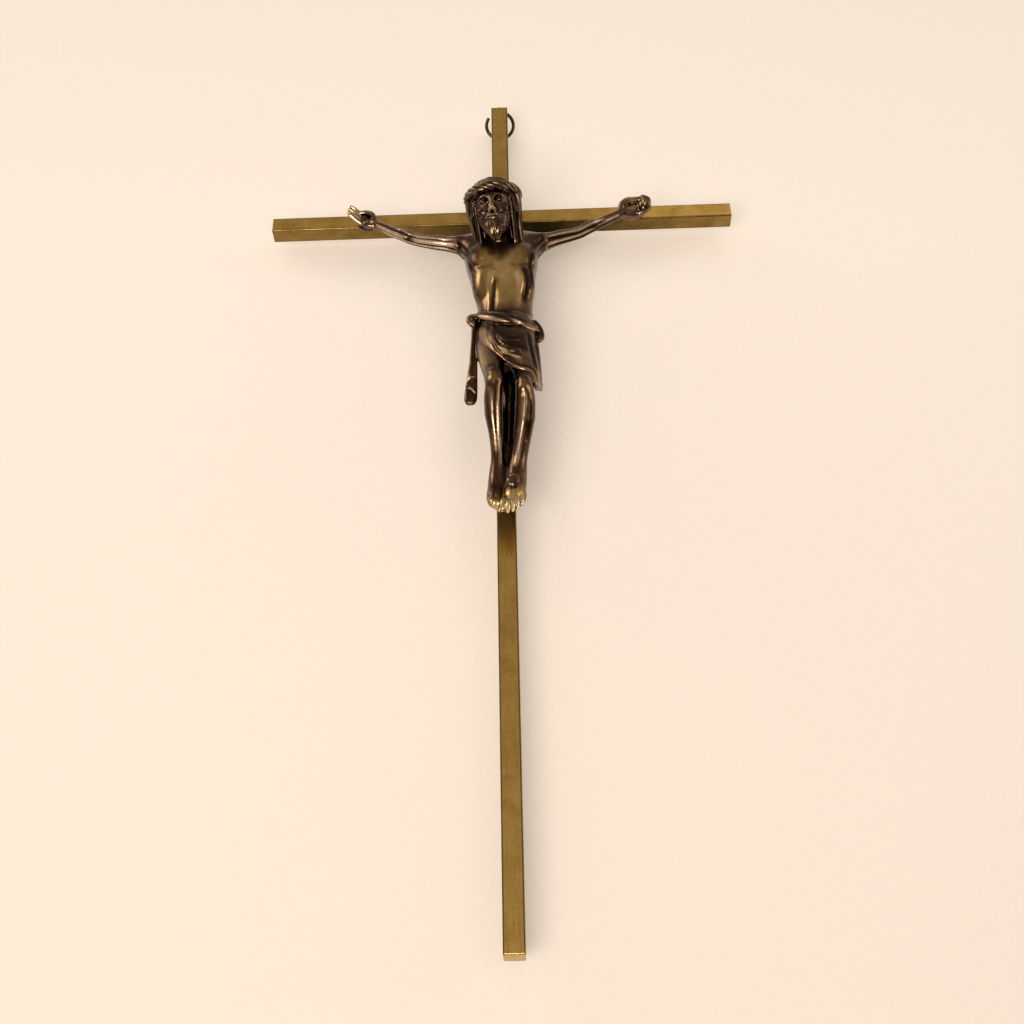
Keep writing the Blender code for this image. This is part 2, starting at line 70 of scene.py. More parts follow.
class Clay:
    """A block of clay between two corners, all in millimetres; distances are negative inside."""

    def __init__(self, low, high, step):
        self.low = np.array(low, float)
        self.step = step
        self.size = (np.ceil((np.array(high) - self.low) / step)).astype(int) + 1
        self.field = np.full(self.size, 9.0, np.float32)
        self.marks = []

    def blank(self):
        block = Clay(self.low, self.low + self.step * (self.size - 1.5), self.step)
        block.marks = self.marks
        return block

    def window(self, low, high):
        """Slices for the part of the block inside a box, and x, y, z there, ready to broadcast."""
        first = np.clip(np.floor((np.array(low) - self.low) / self.step).astype(int), 0, self.size - 1)
        last = np.clip(np.ceil((np.array(high) - self.low) / self.step).astype(int) + 1, 1, self.size)
        spans = tuple(slice(a, b) for a, b in zip(first, last))
        axes = [np.float32(self.low[i] + self.step * np.arange(first[i], last[i])) for i in range(3)]
        return spans, axes[0][:, None, None], axes[1][None, :, None], axes[2][None, None, :]

    def join(self, spans, shape, blend):
        self.field[spans] = smooth_min(self.field[spans], shape, blend)

    def carve(self, spans, shape, blend):
        self.field[spans] = -smooth_min(-self.field[spans], shape, blend)

    def ball(self, centre, half, blend=1.0, turn=(0.0, 0.0, 0.0), carve=False):
        """An ellipsoid, turned by angles in degrees about x, y and z in that order."""
        centre, half = np.array(centre, float), np.array(half, float)
        reach = half.max() + blend + 0.5
        spans, x, y, z = self.window(centre - reach, centre + reach)
        spin = np.array(Matrix.Rotation(math.radians(turn[2]), 3, "Z") @ Matrix.Rotation(
            math.radians(turn[1]), 3, "Y") @ Matrix.Rotation(math.radians(turn[0]), 3, "X"))
        dx, dy, dz = x - centre[0], y - centre[1], z - centre[2]
        near = far = 0.0
        for i in range(3):
            along = dx * spin[0][i] + dy * spin[1][i] + dz * spin[2][i]
            near = near + (along / half[i]) ** 2
            far = far + (along / half[i] ** 2) ** 2
        near = np.sqrt(near)
        shape = near * (near - 1.0) / np.sqrt(far + 1e-9)
        (self.carve if carve else self.join)(spans, shape.astype(np.float32), blend)

    def segment(self, x, y, z, start, end):
        """Squared distance to a segment, and how far along it the nearest point is."""
        along = end - start
        length2 = max(float(along @ along), 1e-9)
        dx, dy, dz = x - start[0], y - start[1], z - start[2]
        t = np.clip((dx * along[0] + dy * along[1] + dz * along[2]) / length2, 0.0, 1.0)
        return (dx - t * along[0]) ** 2 + (dy - t * along[1]) ** 2 + (dz - t * along[2]) ** 2, t

    def limb(self, joints, blend=1.0, count=None):
        """A round limb along joints (x, y, z, radius); count resamples them as a smooth curve."""
        joints = np.array(joints, float) if count is None else spline(joints, count)
        for a, b in zip(joints, joints[1:]):
            reach = max(a[3], b[3]) + blend + 0.5
            spans, x, y, z = self.window(np.minimum(a, b)[:3] - reach, np.maximum(a, b)[:3] + reach)
            squared, t = self.segment(x, y, z, a[:3], b[:3])
            shape = np.sqrt(squared) - (a[3] + (b[3] - a[3]) * t)
            self.join(spans, shape.astype(np.float32), blend)

    def loft(self, stations, blend=1.0):
        """Level rings (height, centre x, centre y, half width, front depth, back depth, squareness)."""
        rows = np.array(stations, float)
        rows = rows[np.argsort(rows[:, 0])]
        heights = np.linspace(rows[0, 0], rows[-1, 0], 60)
        dense = spline(rows, 60)
        dense = np.array([np.interp(heights, dense[:, 0], dense[:, i]) for i in range(rows.shape[1])])
        wide = rows[:, 3:6].max() + blend + 0.5
        low = [rows[:, 1].min() - wide, rows[:, 2].min() - wide, rows[0, 0] - blend - 0.5]
        high = [rows[:, 1].max() + wide, rows[:, 2].max() + wide, rows[-1, 0] + blend + 0.5]
        spans, x, y, z = self.window(low, high)
        cx, cy, half, front, back, square = (np.interp(z, heights, dense[i]) for i in range(1, 7))
        dx, dy = np.abs(x - cx), y - cy
        depth = np.where(dy < 0.0, front, back)
        rho = ((dx / half) ** square + (np.abs(dy) / depth) ** square) ** (1.0 / square)
        reach = np.sqrt(dx ** 2 + dy ** 2)
        shape = np.where(reach > 0.3, reach * (1.0 - 1.0 / np.maximum(rho, 1e-3)), -np.minimum(half, depth))
        shape = np.maximum(shape, np.maximum(z - rows[-1, 0], rows[0, 0] - z))
        self.join(spans, shape.astype(np.float32), blend)

    def on_surface(self, points, count=None):
        points = np.array(points, float) if count is None else spline(points, count)
        cells = (points - self.low) / self.step
        for _ in range(8):
            cells = self.settle(cells, 1.5)
        return cells * self.step + self.low

    def painted_light_and_wear(self, points, width, amount, count=14):
        """Mark a line painted bright as a highlight or, with a negative amount, dark as shade; partly it
        stands for rubbed wear.
        """
        self.marks.append((self.on_surface(points, count), width, amount))

    def ridge(self, points, width, height, count=None, taper=True, painted_light_and_wear=0.0):
        """Raise, or with a negative height press in, a soft line on the surface near points (x, y, z)."""
        points = self.on_surface(points, count)
        # the line also gets a painted highlight, or painted shade for a negative amount, partly standing for
        # rubbed wear
        if painted_light_and_wear:
            self.marks.append((points, 1.3 * width, painted_light_and_wear))
        reach = 2.4 * width
        spans, x, y, z = self.window(points.min(0) - reach, points.max(0) + reach)
        height = RELIEF * height
        nearest = np.full(self.field[spans].shape, 99.0, np.float32)
        place = np.zeros_like(nearest)
        for i, (a, b) in enumerate(zip(points, points[1:])):
            squared, t = self.segment(x, y, z, a, b)
            closer = squared < nearest
            nearest = np.where(closer, squared, nearest)
            place = np.where(closer, (i + t) / (len(points) - 1), place)
        profile = np.exp(-nearest / width ** 2)
        if taper:
            profile = profile * np.clip(4.0 * place * (1.0 - place) * 1.6, 0.0, 1.0) ** 0.7
        self.field[spans] -= (height * profile).astype(np.float32)

    def trim(self, inside, blend=0.05):
        """Keep what is on the negative side of a field given by a function of x, y, z."""
        spans, x, y, z = self.window(self.low, self.low + self.step * self.size)
        shape = (inside(x, y, z) + np.zeros(self.size)).astype(np.float32)
        self.field = -smooth_min(-self.field, -shape, blend)

    def surface(self):
        """Surface nets: one point in each cell that the surface crosses, and a quad across each edge."""
        field = self.field
        inside = field < 0.0
        corner = [inside[i:inside.shape[0] - 1 + i, j:inside.shape[1] - 1 + j, k:inside.shape[2] - 1 + k]
                  for i in (0, 1) for j in (0, 1) for k in (0, 1)]
        total = sum(c.astype(np.int8) for c in corner)
        cells = np.argwhere((total > 0) & (total < 8))
        index = np.full(total.shape, -1, np.int32)
        index[tuple(cells.T)] = np.arange(len(cells))
        sums = np.zeros((len(cells), 3))
        counts = np.zeros(len(cells))
        for axis in range(3):
            others = [a for a in range(3) if a != axis]
            for step_a in (0, 1):
                for step_b in (0, 1):
                    start = cells.copy()
                    start[:, others[0]] += step_a
                    start[:, others[1]] += step_b
                    end = start.copy()
                    end[:, axis] += 1
                    low = field[tuple(start.T)]
                    high = field[tuple(end.T)]
                    crossed = (low < 0.0) != (high < 0.0)
                    t = np.where(crossed, low / np.where(crossed, low - high, 1.0), 0.0)
                    point = start.astype(float)
                    point[:, axis] += t
                    sums[crossed] += point[crossed]
                    counts[crossed] += 1
        points = sums / counts[:, None]
        quads = []
        for axis in range(3):
            a, b = [(axis + 1) % 3, (axis + 2) % 3]
            ahead = np.take(inside, range(1, inside.shape[axis]), axis)
            behind = np.take(inside, range(inside.shape[axis] - 1), axis)
            for outward, mask in ((True, behind & ~ahead), (False, ahead & ~behind)):
                edges = np.argwhere(mask)
                edges = edges[(edges[:, a] > 0) & (edges[:, b] > 0)
                              & (edges[:, a] < total.shape[a]) & (edges[:, b] < total.shape[b])]
                ring = []
                for back_a, back_b in ((1, 1), (0, 1), (0, 0), (1, 0)):
                    cell = edges.copy()
                    cell[:, a] -= back_a
                    cell[:, b] -= back_b
                    ring.append(index[tuple(cell.T)])
                quads.append(np.stack(ring if outward else ring[::-1], 1))
        quads = np.vstack(quads)
        for _ in range(3):
            points = self.settle(points)
        return points * self.step + self.low, quads

    def probe(self, points):
        """The field and its slope at points given in cells."""
        base = np.clip(np.floor(points).astype(int), 0, self.size - 2)
        t = np.clip(points - base, 0.0, 1.0)
        value = 0.0
        slope = np.zeros_like(points)
        for i in (0, 1):
            for j in (0, 1):
                for k in (0, 1):
                    at = (base[:, 0] + i, base[:, 1] + j, base[:, 2] + k)
                    wx, wy, wz = (t[:, n] if c else 1 - t[:, n] for n, c in enumerate((i, j, k)))
                    f = self.field[at]
                    value = value + f * wx * wy * wz
                    slope[:, 0] += (1 if i else -1) * f * wy * wz
                    slope[:, 1] += (1 if j else -1) * f * wx * wz
                    slope[:, 2] += (1 if k else -1) * f * wx * wy
        return value, slope

    def relief(self, points, reach):
        """How much each surface point (millimetres) stands out, or, if negative, lies in a hollow."""
        cells = (points - self.low) / self.step
        slope = self.probe(cells)[1]
        steep = np.maximum(np.sqrt((slope ** 2).sum(1)), 0.3 * self.step)
        offset = slope / steep[:, None] * reach / self.step
        rise = reach * steep / self.step
        outside = self.probe(cells + offset)[0] / rise - 1.0
        below = self.probe(cells - offset)[0] / rise + 1.0
        return np.clip(0.9 * below + 1.4 * outside, -1.0, 1.0)

    def settle(self, points, most=0.4):
        """Move points on to the surface along the field's slope (points in cells)."""
        value, slope = self.probe(points)
        steep = np.maximum((slope ** 2).sum(1), (0.2 * self.step) ** 2)
        move = -slope * (value / steep)[:, None]
        length = np.sqrt((move ** 2).sum(1))
        return points + move * np.minimum(1.0, most / np.maximum(length, 1e-9))[:, None]


# ---------------------------------------------------------------- sizes, millimetres
BAR = 4.7625
BAR_TOP = 45.3
BACK = -BAR - 0.30  # of the corpus, just clear of the bars
SEAM_X = 11.8
SEAM_GAP = 0.02
PIN_END = 40.4
EYE_CENTRE = (0.0, -1.13125, 47.05)
EYE_RADIUS = 1.25
EYE_WIRE = 0.4
RING_RADIUS = 4.05
RING_WIRE = 0.5
RING_LEAN = 30.5  # degrees
NAIL_RADIUS = 1.6
SHANK_RADIUS = 0.56
PAPER_GAP = 6.0
FINE = 1.0
BODY_STEP = 0.28 * FINE
ARM_STEP = 0.17 * FINE
HEAD_STEP = 0.15 * FINE


def add_shoulder(clay, side):
    """The same clay on both sides of the seam where an arm is joined on."""
    clay.limb([(side * 8.6, -10.8, -16.9, 3.1), (side * 11.0, -10.8, -16.3, 2.3),
               (side * 13.0, -10.75, -15.8, 1.95)], 1.2)
    clay.ball((side * 11.4, -11.9, -15.6), (2.3, 1.3, 1.5), 0.8)


# ---------------------------------------------------------------- body
def add_torso(clay):
    clay.loft([
        (-12.6, -0.3, -11.6, 3.6, 3.0, 3.0, 2.0),
        (-14.5, -0.1, -11.0, 7.6, 3.7, 4.0, 2.2),
        (-17.0, 0.0, -10.6, 10.4, 4.6, 5.0, 2.4),
        (-20.0, 0.0, -10.4, 10.6, 5.7, 5.5, 2.6),
        (-24.0, 0.05, -10.3, 9.7, 6.4, 5.5, 2.8),
        (-28.0, 0.2, -10.3, 8.9, 6.6, 5.5, 2.9),
        (-32.0, 0.4, -10.3, 8.3, 6.4, 5.5, 2.8),
        (-36.0, 0.6, -10.2, 7.7, 6.0, 5.5, 2.7),
        (-40.0, 0.85, -10.1, 7.25, 5.7, 5.5, 2.6),
        (-44.0, 1.05, -10.1, 7.1, 5.7, 5.5, 2.5),
        (-49.0, 1.2, -10.4, 7.2, 6.0, 5.5, 2.3),
        (-54.0, 1.4, -10.8, 6.9, 6.0, 5.5, 2.2),
        (-58.0, 1.8, -11.2, 5.4, 5.2, 5.0, 2.2)])
    for side in (-1, 1):
        clay.limb([(side * 4.0, -10.9, -17.2, 4.0), (side * 8.6, -10.8, -17.0, 3.1)], 2.0)
        add_shoulder(clay, side)
        clay.limb([(side * 1.5, -10.5, -12.4, 2.4), (side * 8.0, -10.3, -15.2, 2.2)], 2.0)
        # chest and ribcage, broad and smooth
        clay.ball((side * 4.3 + 0.1, -13.9, -24.8), (4.5, 3.0, 4.4), 1.8, (0.0, side * 10.0, 0.0))
        clay.ball((side * 4.9 + 0.5, -12.8, -32.0), (3.1, 3.6, 6.4), 1.6, (0.0, side * -8.0, 0.0))
        # collar bones and the cords of the neck
        clay.ridge([(side * 0.9, -15.2, -19.9), (side * 4.6, -15.1, -18.3), (side * 9.0, -13.4, -15.6)],
                   0.7, 0.25, 14)
        clay.ridge([(side * 0.7, -15.3, -19.8), (side * 2.2, -15.8, -16.0), (side * 3.8, -15.6, -12.0)],
                   0.8, 0.4, 10)
    # front of the armpit: a sharp crease that parts the front from the flat flank, with painted shade in the
    # crease and a painted highlight on the edge beside the right one
    clay.ridge([(-11.9, -12.2, -16.4), (-11.2, -13.0, -18.2), (-9.9, -14.0, -21.5), (-8.7, -15.0, -24.6),
                (-8.1, -14.9, -27.7), (-7.5, -14.7, -31.5), (-6.8, -14.4, -36.5)], 0.42, -0.6, 30, painted_light_and_wear=-0.2)
    clay.ridge([(11.9, -12.2, -15.6), (10.6, -13.2, -17.6), (9.2, -14.0, -20.4), (7.8, -15.0, -23.8),
                (7.3, -15.1, -27.4), (7.4, -14.9, -31.5), (7.0, -14.6, -36.5)], 0.42, -0.8, 30, painted_light_and_wear=-0.3)
    clay.ridge([(11.0, -13.0, -18.6), (9.7, -13.8, -21.4), (8.5, -14.3, -24.6), (8.2, -14.3, -28.0)],
               0.35, 0.4, 20, painted_light_and_wear=0.25)
    for side in (-1, 1):
        clay.ball((side * 11.3, -9.0, -22.8), (1.4, 2.6, 3.4), 0.8, (0.0, side * -14.0, 0.0), carve=True)
    # breastbone and the lower edge of the chest
    clay.ridge([(-0.1, -16.2, -20.8), (-0.6, -16.9, -24.5), (-0.9, -17.2, -28.0)], 0.9, -0.12, 12)
    for side, nudge in ((-1, -0.3), (1, 0.3)):
        clay.ridge([(side * 1.6 + nudge, -17.3, -28.8), (side * 4.4 + nudge, -17.2, -29.6),
                    (side * 6.8 + nudge, -15.4, -28.2)], 0.6, -0.22, 16)
        x = side * 4.6 + nudge
        clay.ridge([(x, -17.0, -26.9), (x + 0.1, -17.0, -27.1)], 0.3, 0.3, taper=False)
    # ribs: a soft ridge with a hollow inside it on each side of the belly's raised panel, with a painted
    # highlight on each ridge and painted shade in each hollow
    clay.ridge([(-1.7, -17.3, -30.6), (-2.7, -17.2, -33.0), (-3.0, -16.9, -36.5), (-3.4, -16.3, -41.0),
                (-3.8, -15.8, -44.6)], 0.75, 0.5, 24, painted_light_and_wear=0.12)
    clay.ridge([(-1.2, -17.2, -33.0), (-1.9, -17.0, -35.6), (-2.1, -16.7, -38.6), (-2.3, -16.4, -41.4),
                (-2.7, -16.0, -44.8)], 0.75, -0.6, 24, painted_light_and_wear=-0.3)
    clay.ridge([(3.9, -17.1, -30.8), (4.9, -16.7, -33.6), (4.9, -16.4, -36.6), (4.5, -16.0, -40.0),
                (3.8, -15.9, -43.5)], 0.8, 0.5, 24, painted_light_and_wear=0.2)
    clay.ridge([(5.7, -16.2, -29.8), (6.4, -15.8, -32.4), (6.5, -15.4, -36.0), (6.0, -15.2, -41.5)],
               0.7, -0.6, 24, painted_light_and_wear=-0.3)
    clay.ball((1.2, -12.9, -40.2), (3.3, 3.5, 6.8), 1.2)
    clay.ball((1.0, -16.6, -42.6), (0.3, 0.35, 0.3), 0.25, carve=True)
    for side, nudge in ((-1, 0.1), (1, 0.9)):
        for rib in range(3):
            z = -30.2 - 2.9 * rib
            clay.ridge([(side * (8.2 - 0.35 * rib) + nudge, -12.4, z), (side * 7.2 + nudge, -14.6, z - 1.2)],
                       0.7, 0.12, 12)
    # wound in the side
    clay.ridge([(7.0, -15.0, -31.6), (7.5, -14.3, -33.4), (7.5, -13.9, -35.2)], 0.3, -0.5, 8)


def add_neck(clay):
    clay.limb([(0.0, -11.2, -17.0, 4.0), (-0.6, -14.2, -13.4, 3.5), (-1.1, -16.8, -11.0, 3.5)], 1.6, 10)
    clay.ball((-0.2, -16.4, -16.6), (0.7, 0.7, 0.9), 0.8)


def add_knee(clay, knee):
    knee = np.array(knee)
    clay.ball(knee, (1.9, 1.9, 2.3), 0.9)
    clay.ball(knee + (0.0, -1.35, 0.1), (0.95, 0.7, 1.3), 0.6)
    clay.ball(knee + (0.0, -0.9, 2.2), (1.3, 1.1, 1.5), 0.9)


def add_legs(clay):
    # the web of metal left between the shins, darkened by painted shade in the wear patches, with the mould's
    # line down it and a painted highlight on that line
    clay.limb([(2.0, -13.6, -66.0, 2.6), (1.8, -13.8, -71.0, 2.5), (1.5, -13.0, -77.5, 2.1),
               (1.15, -11.8, -84.0, 1.6), (0.8, -10.8, -90.0, 1.3)], 0.8, 16)
    clay.ridge([(1.75, -16.4, -70.0), (1.4, -15.3, -76.5), (1.15, -13.5, -83.5), (0.6, -12.1, -89.5)],
               0.16, 0.6, 18, painted_light_and_wear=0.35)
    clay.limb([(-2.9, -11.6, -52.5, 4.2), (-2.8, -14.2, -58.0, 3.5), (-2.5, -17.3, -63.8, 2.85),
               (-2.1, -19.6, -69.3, 2.25), (-2.0, -20.4, -71.8, 2.0)], 0.8, 16)
    clay.limb([(-2.0, -20.4, -72.0, 1.95), (-2.3, -18.9, -75.6, 2.15), (-2.3, -16.9, -79.4, 2.0),
               (-1.95, -14.6, -83.4, 1.6), (-1.75, -12.6, -87.6, 1.42), (-1.8, -11.2, -91.4, 1.5)], 0.7, 22)
    clay.limb([(5.0, -11.6, -53.0, 4.4), (5.4, -14.4, -60.5, 3.6), (5.6, -17.6, -67.5, 2.7),
               (5.5, -20.2, -73.4, 2.0)], 0.8, 14)
    clay.limb([(5.5, -20.3, -74.0, 1.9), (5.5, -18.8, -77.2, 2.25), (5.15, -16.9, -81.0, 2.25),
               (4.35, -14.9, -85.2, 2.05), (3.45, -13.0, -89.6, 1.95), (2.95, -12.1, -92.8, 2.1)], 0.7, 22)
    add_knee(clay, (-1.9, -20.7, -71.7))
    add_knee(clay, (5.2, -20.9, -74.5))
    clay.ball((-2.9, -16.2, -77.4), (1.6, 1.9, 4.0), 0.8, (-25.0, 0.0, 0.0))
    clay.ball((5.9, -16.4, -79.6), (1.8, 1.9, 4.0), 0.8, (-25.0, 10.0, 0.0))
    # shins: the bone's edge, and the flat between it and the calf, with painted highlights along the bone's
    # edge and the flat
    clay.ridge([(-0.9, -22.2, -73.4), (-0.95, -20.4, -78.0), (-0.95, -17.0, -83.4), (-0.7, -13.8, -89.2),
                (-1.3, -12.6, -94.5)], 0.32, 0.6, 22, painted_light_and_wear=0.9)
    clay.ridge([(-2.6, -22.0, -74.0), (-2.7, -19.9, -78.6), (-2.4, -16.6, -84.0), (-2.2, -13.8, -89.0)],
               0.55, 0.25, 18, painted_light_and_wear=0.3)
    clay.ridge([(-1.7, -22.0, -75.0), (-1.75, -19.8, -79.4), (-1.6, -16.2, -85.0)], 0.32, -0.26, 14)
    clay.ridge([(5.6, -22.4, -76.0), (5.2, -20.7, -80.6), (4.3, -17.6, -85.4), (3.1, -14.7, -91.0),
                (2.4, -14.4, -94.4)], 0.34, 0.65, 22, painted_light_and_wear=1.0)
    clay.ridge([(4.4, -22.2, -76.4), (4.1, -20.2, -80.8), (3.2, -17.0, -85.8)], 0.38, 0.25, 14)
    clay.ridge([(6.7, -20.6, -77.6), (6.4, -18.6, -82.0), (5.2, -15.8, -87.0)], 0.45, -0.35, 14)


def add_foot(clay, path, broad, toes):
    """A foot along a path, with broad parts (centre, half, turn) and toes (base, knuckle, tip, radius)."""
    clay.limb(path, 0.9, 16)
    for centre, half, turn in broad:
        clay.ball(centre, half, 0.8, turn)
    for base, knuckle, tip, radius in toes:
        clay.limb([(*base, radius * 0.95), (*knuckle, radius), (*tip, radius * 0.86)], 0.18, 8)
        nail = np.array(tip) + (0.0, -radius * 0.8, -0.1)
        clay.ball(nail, (radius * 0.5, 0.14, radius * 0.42), 0.08)
        clay.ridge([np.array(base) + (0.0, -radius * 0.8, 2.4), np.array(base) + (0.0, -radius * 0.9, 0.4)],
                   0.28, 0.16, 5, taper=False)


def add_feet(clay):
    add_foot(clay, [(-1.8, -11.2, -91.0, 1.5), (-2.1, -10.7, -95.0, 1.75), (-2.2, -11.1, -99.0, 1.85),
                    (-2.3, -11.6, -101.2, 1.7)],
             [((-2.0, -8.2, -94.6), (1.7, 2.2, 2.2), (0.0, 0.0, 0.0)),
              ((-2.45, -11.1, -99.4), (1.85, 1.5, 2.8), (8.0, 0.0, 0.0))],
             [((-3.5, -12.0, -100.3), (-3.7, -12.7, -101.3), (-3.7, -12.6, -102.4), 0.46),
              ((-2.9, -12.4, -101.0), (-3.05, -13.1, -102.3), (-3.0, -13.0, -103.6), 0.48),
              ((-2.2, -12.6, -101.5), (-2.25, -13.4, -103.0), (-2.2, -13.2, -104.5), 0.5),
              ((-1.3, -12.6, -101.6), (-1.3, -13.6, -103.5), (-1.35, -13.3, -105.0), 0.66)])
    add_foot(clay, [(2.95, -12.1, -92.4, 2.0), (2.7, -11.9, -96.0, 2.2), (2.3, -12.3, -99.6, 2.2),
                    (1.9, -13.0, -102.0, 1.9)],
             [((2.6, -9.2, -96.0), (1.9, 2.4, 2.2), (0.0, 0.0, 0.0)),
              ((2.2, -12.6, -100.6), (2.9, 1.5, 2.8), (8.0, 0.0, 0.0))],
             [((0.2, -13.8, -101.8), (-0.45, -14.9, -103.8), (-0.55, -14.6, -105.6), 0.78),
              ((1.15, -14.2, -102.4), (0.75, -15.3, -104.6), (0.6, -15.0, -106.5), 0.56),
              ((2.05, -14.3, -102.4), (1.85, -15.2, -104.5), (1.75, -14.9, -106.2), 0.54),
              ((2.95, -14.1, -102.0), (2.95, -14.9, -103.8), (2.9, -14.6, -105.4), 0.52),
              ((3.8, -13.7, -101.2), (3.95, -14.3, -102.8), (3.95, -14.0, -104.1), 0.52)])
    clay.ball((-0.5, -11.0, -97.0), (1.5, 1.5, 6.5), 0.9, (10.0, 0.0, 0.0))
    # the skin over the nail, and the line where one foot lies over the other
    clay.ridge([(0.3, -14.0, -96.8), (1.8, -14.6, -95.4), (3.5, -14.3, -96.8)], 0.4, 0.3, 12)
    clay.ridge([(0.9, -13.0, -90.5), (0.3, -13.2, -94.0), (-0.3, -13.6, -98.5), (-0.7, -13.9, -102.0)],
               0.3, -0.7, 16)


# ---------------------------------------------------------------- loincloth
HEM = [(-8.0, -51.8), (-6.5, -53.6), (-4.5, -57.0), (-2.35, -60.4), (0.4, -65.0), (2.4, -67.2), (4.2, -68.4),
       (6.6, -69.0), (7.5, -70.2), (7.9, -74.0), (11.5, -74.0)]


def hem_height(x):
    """Height of the cloth's lower edge across the figure."""
    return np.interp(x, [p[0] for p in HEM], [p[1] for p in HEM])


def cloth_rings(grow):
    """Level rings of the cloth: height, centre x and y, half width, depth in front and behind, squareness."""
    rows = [(-45.0, 1.0, -10.5, 7.2, 6.2, 5.5, 2.3), (-48.0, 1.1, -10.8, 7.8, 7.0, 5.5, 2.3),
            (-53.0, 1.35, -11.2, 8.0, 8.0, 6.0, 2.4), (-58.0, 1.9, -11.8, 7.6, 8.6, 6.5, 2.4),
            (-63.0, 2.9, -12.8, 6.8, 8.3, 6.0, 2.5), (-67.0, 3.9, -13.6, 5.9, 7.7, 5.5, 2.6),
            (-73.0, 5.0, -14.4, 4.9, 7.0, 5.0, 2.8)]
    return [(z, x, y, half + grow, front + grow, back, square) for z, x, y, half, front, back, square in rows]


def add_cloth(clay):
    cloth, hollow = clay.blank(), clay.blank()
    cloth.loft(cloth_rings(0.0), 0.5)
    hollow.loft(cloth_rings(-0.8), 0.5)
    # swags that hang from the upper left, each a raised roll with a hollow under it
    swags = [([(-2.4, -18.6, -51.4), (-1.3, -19.6, -55.6), (0.9, -20.3, -58.6), (4.6, -20.4, -58.4)], 0.55),
             ([(-2.7, -18.6, -51.6), (-1.9, -19.9, -57.2), (0.3, -20.7, -61.2), (4.9, -20.7, -62.4)], 0.6),
             ([(-2.6, -19.0, -54.0), (-1.4, -20.2, -59.6), (0.8, -20.9, -63.0), (4.6, -20.9, -65.2)], 0.7)]
    for path, height in swags:
        cloth.ridge(path, 0.42, height, 24)
        cloth.ridge([(x + 0.5, y, z + 1.1) for x, y, z in path], 0.45, -0.75 * height, 24)
        cloth.ridge([(x - 0.35, y, z - 0.95) for x, y, z in path], 0.4, -0.5 * height, 24)
    cloth.ridge([(-3.5, -18.2, -50.5), (-3.7, -18.4, -54.0), (-2.9, -19.0, -58.0)], 0.6, -0.25, 14)
    cloth.ridge([(1.6, -20.0, -53.2), (3.8, -20.2, -54.6), (6.2, -19.4, -54.4)], 0.8, 0.2, 12)
    # the flat side of the cloth on the right, with an edge down it
    cloth.ridge([(7.7, -18.0, -53.0), (8.1, -18.8, -60.0), (8.3, -18.6, -69.6)], 0.45, 0.5, 18)
    cloth.ridge([(7.0, -19.0, -54.5), (7.2, -19.6, -60.0), (7.3, -19.4, -67.6)], 0.45, -0.4, 18)
    cloth.ridge([(9.2, -15.4, -53.0), (9.4, -16.2, -61.0), (9.5, -16.4, -70.0)], 0.4, -0.35, 16)
    # a painted highlight along the lowest swag
    cloth.painted_light_and_wear([(-1.0, -20.4, -59.8), (0.6, -21.2, -61.9), (2.6, -21.4, -63.8), (5.0, -21.2, -65.2)],
                0.6, 1.3)
    # the hem: a raised line with a painted highlight along it, and a groove above it
    line = [(x, -12.9 - 7.9 * max(0.0, 1.0 - abs((x - 2.6) / 8.8) ** 2.4) ** 0.42, z) for x, z in HEM[1:-1]]
    cloth.ridge([(x, y, z + 0.3) for x, y, z in line[2:]], 0.34, 0.4, 34, painted_light_and_wear=0.35)
    cloth.ridge([(x + 0.25, y, z + 1.2) for x, y, z in line[2:]], 0.34, -0.45, 34)
    cloth.trim(lambda x, y, z: (hem_height(x) - z) * 0.8)
    cloth.trim(lambda x, y, z: y + 12.4 - np.maximum(0.0, z + 60.0) * 1.2)
    spans, x, y, z = cloth.window(cloth.low, cloth.low + cloth.step * cloth.size)
    near_hem = (z - hem_height(x) - 6.0) * 0.8
    inner = np.maximum(hollow.field, near_hem.astype(np.float32))
    cloth.field = -smooth_min(-cloth.field, inner, 0.15)
    # the flap on the right, cut off square
    cloth.loft([(-57.0, 8.6, -15.4, 0.8, 1.6, 2.0, 2.6), (-62.0, 8.75, -15.6, 0.95, 1.9, 2.2, 3.0),
                (-68.0, 8.85, -15.9, 1.0, 2.1, 2.4, 3.6), (-74.0, 8.85, -16.2, 1.0, 2.2, 2.6, 3.6)], 0.4)
    cloth.trim(lambda x, y, z: np.where(x > 7.3, (-71.9 + 0.6 * (y + 17.5) - z) * 0.85, -9.0))
    # a fold across the flap's foot, with a faint painted highlight
    cloth.ridge([(8.8, -17.4, -70.6), (9.6, -16.4, -69.9), (9.8, -14.6, -69.0)], 0.3, 0.25, 10, painted_light_and_wear=0.2)
    add_tail(cloth)
    add_band(cloth)
    clay.field = smooth_min(clay.field, cloth.field, 0.15)


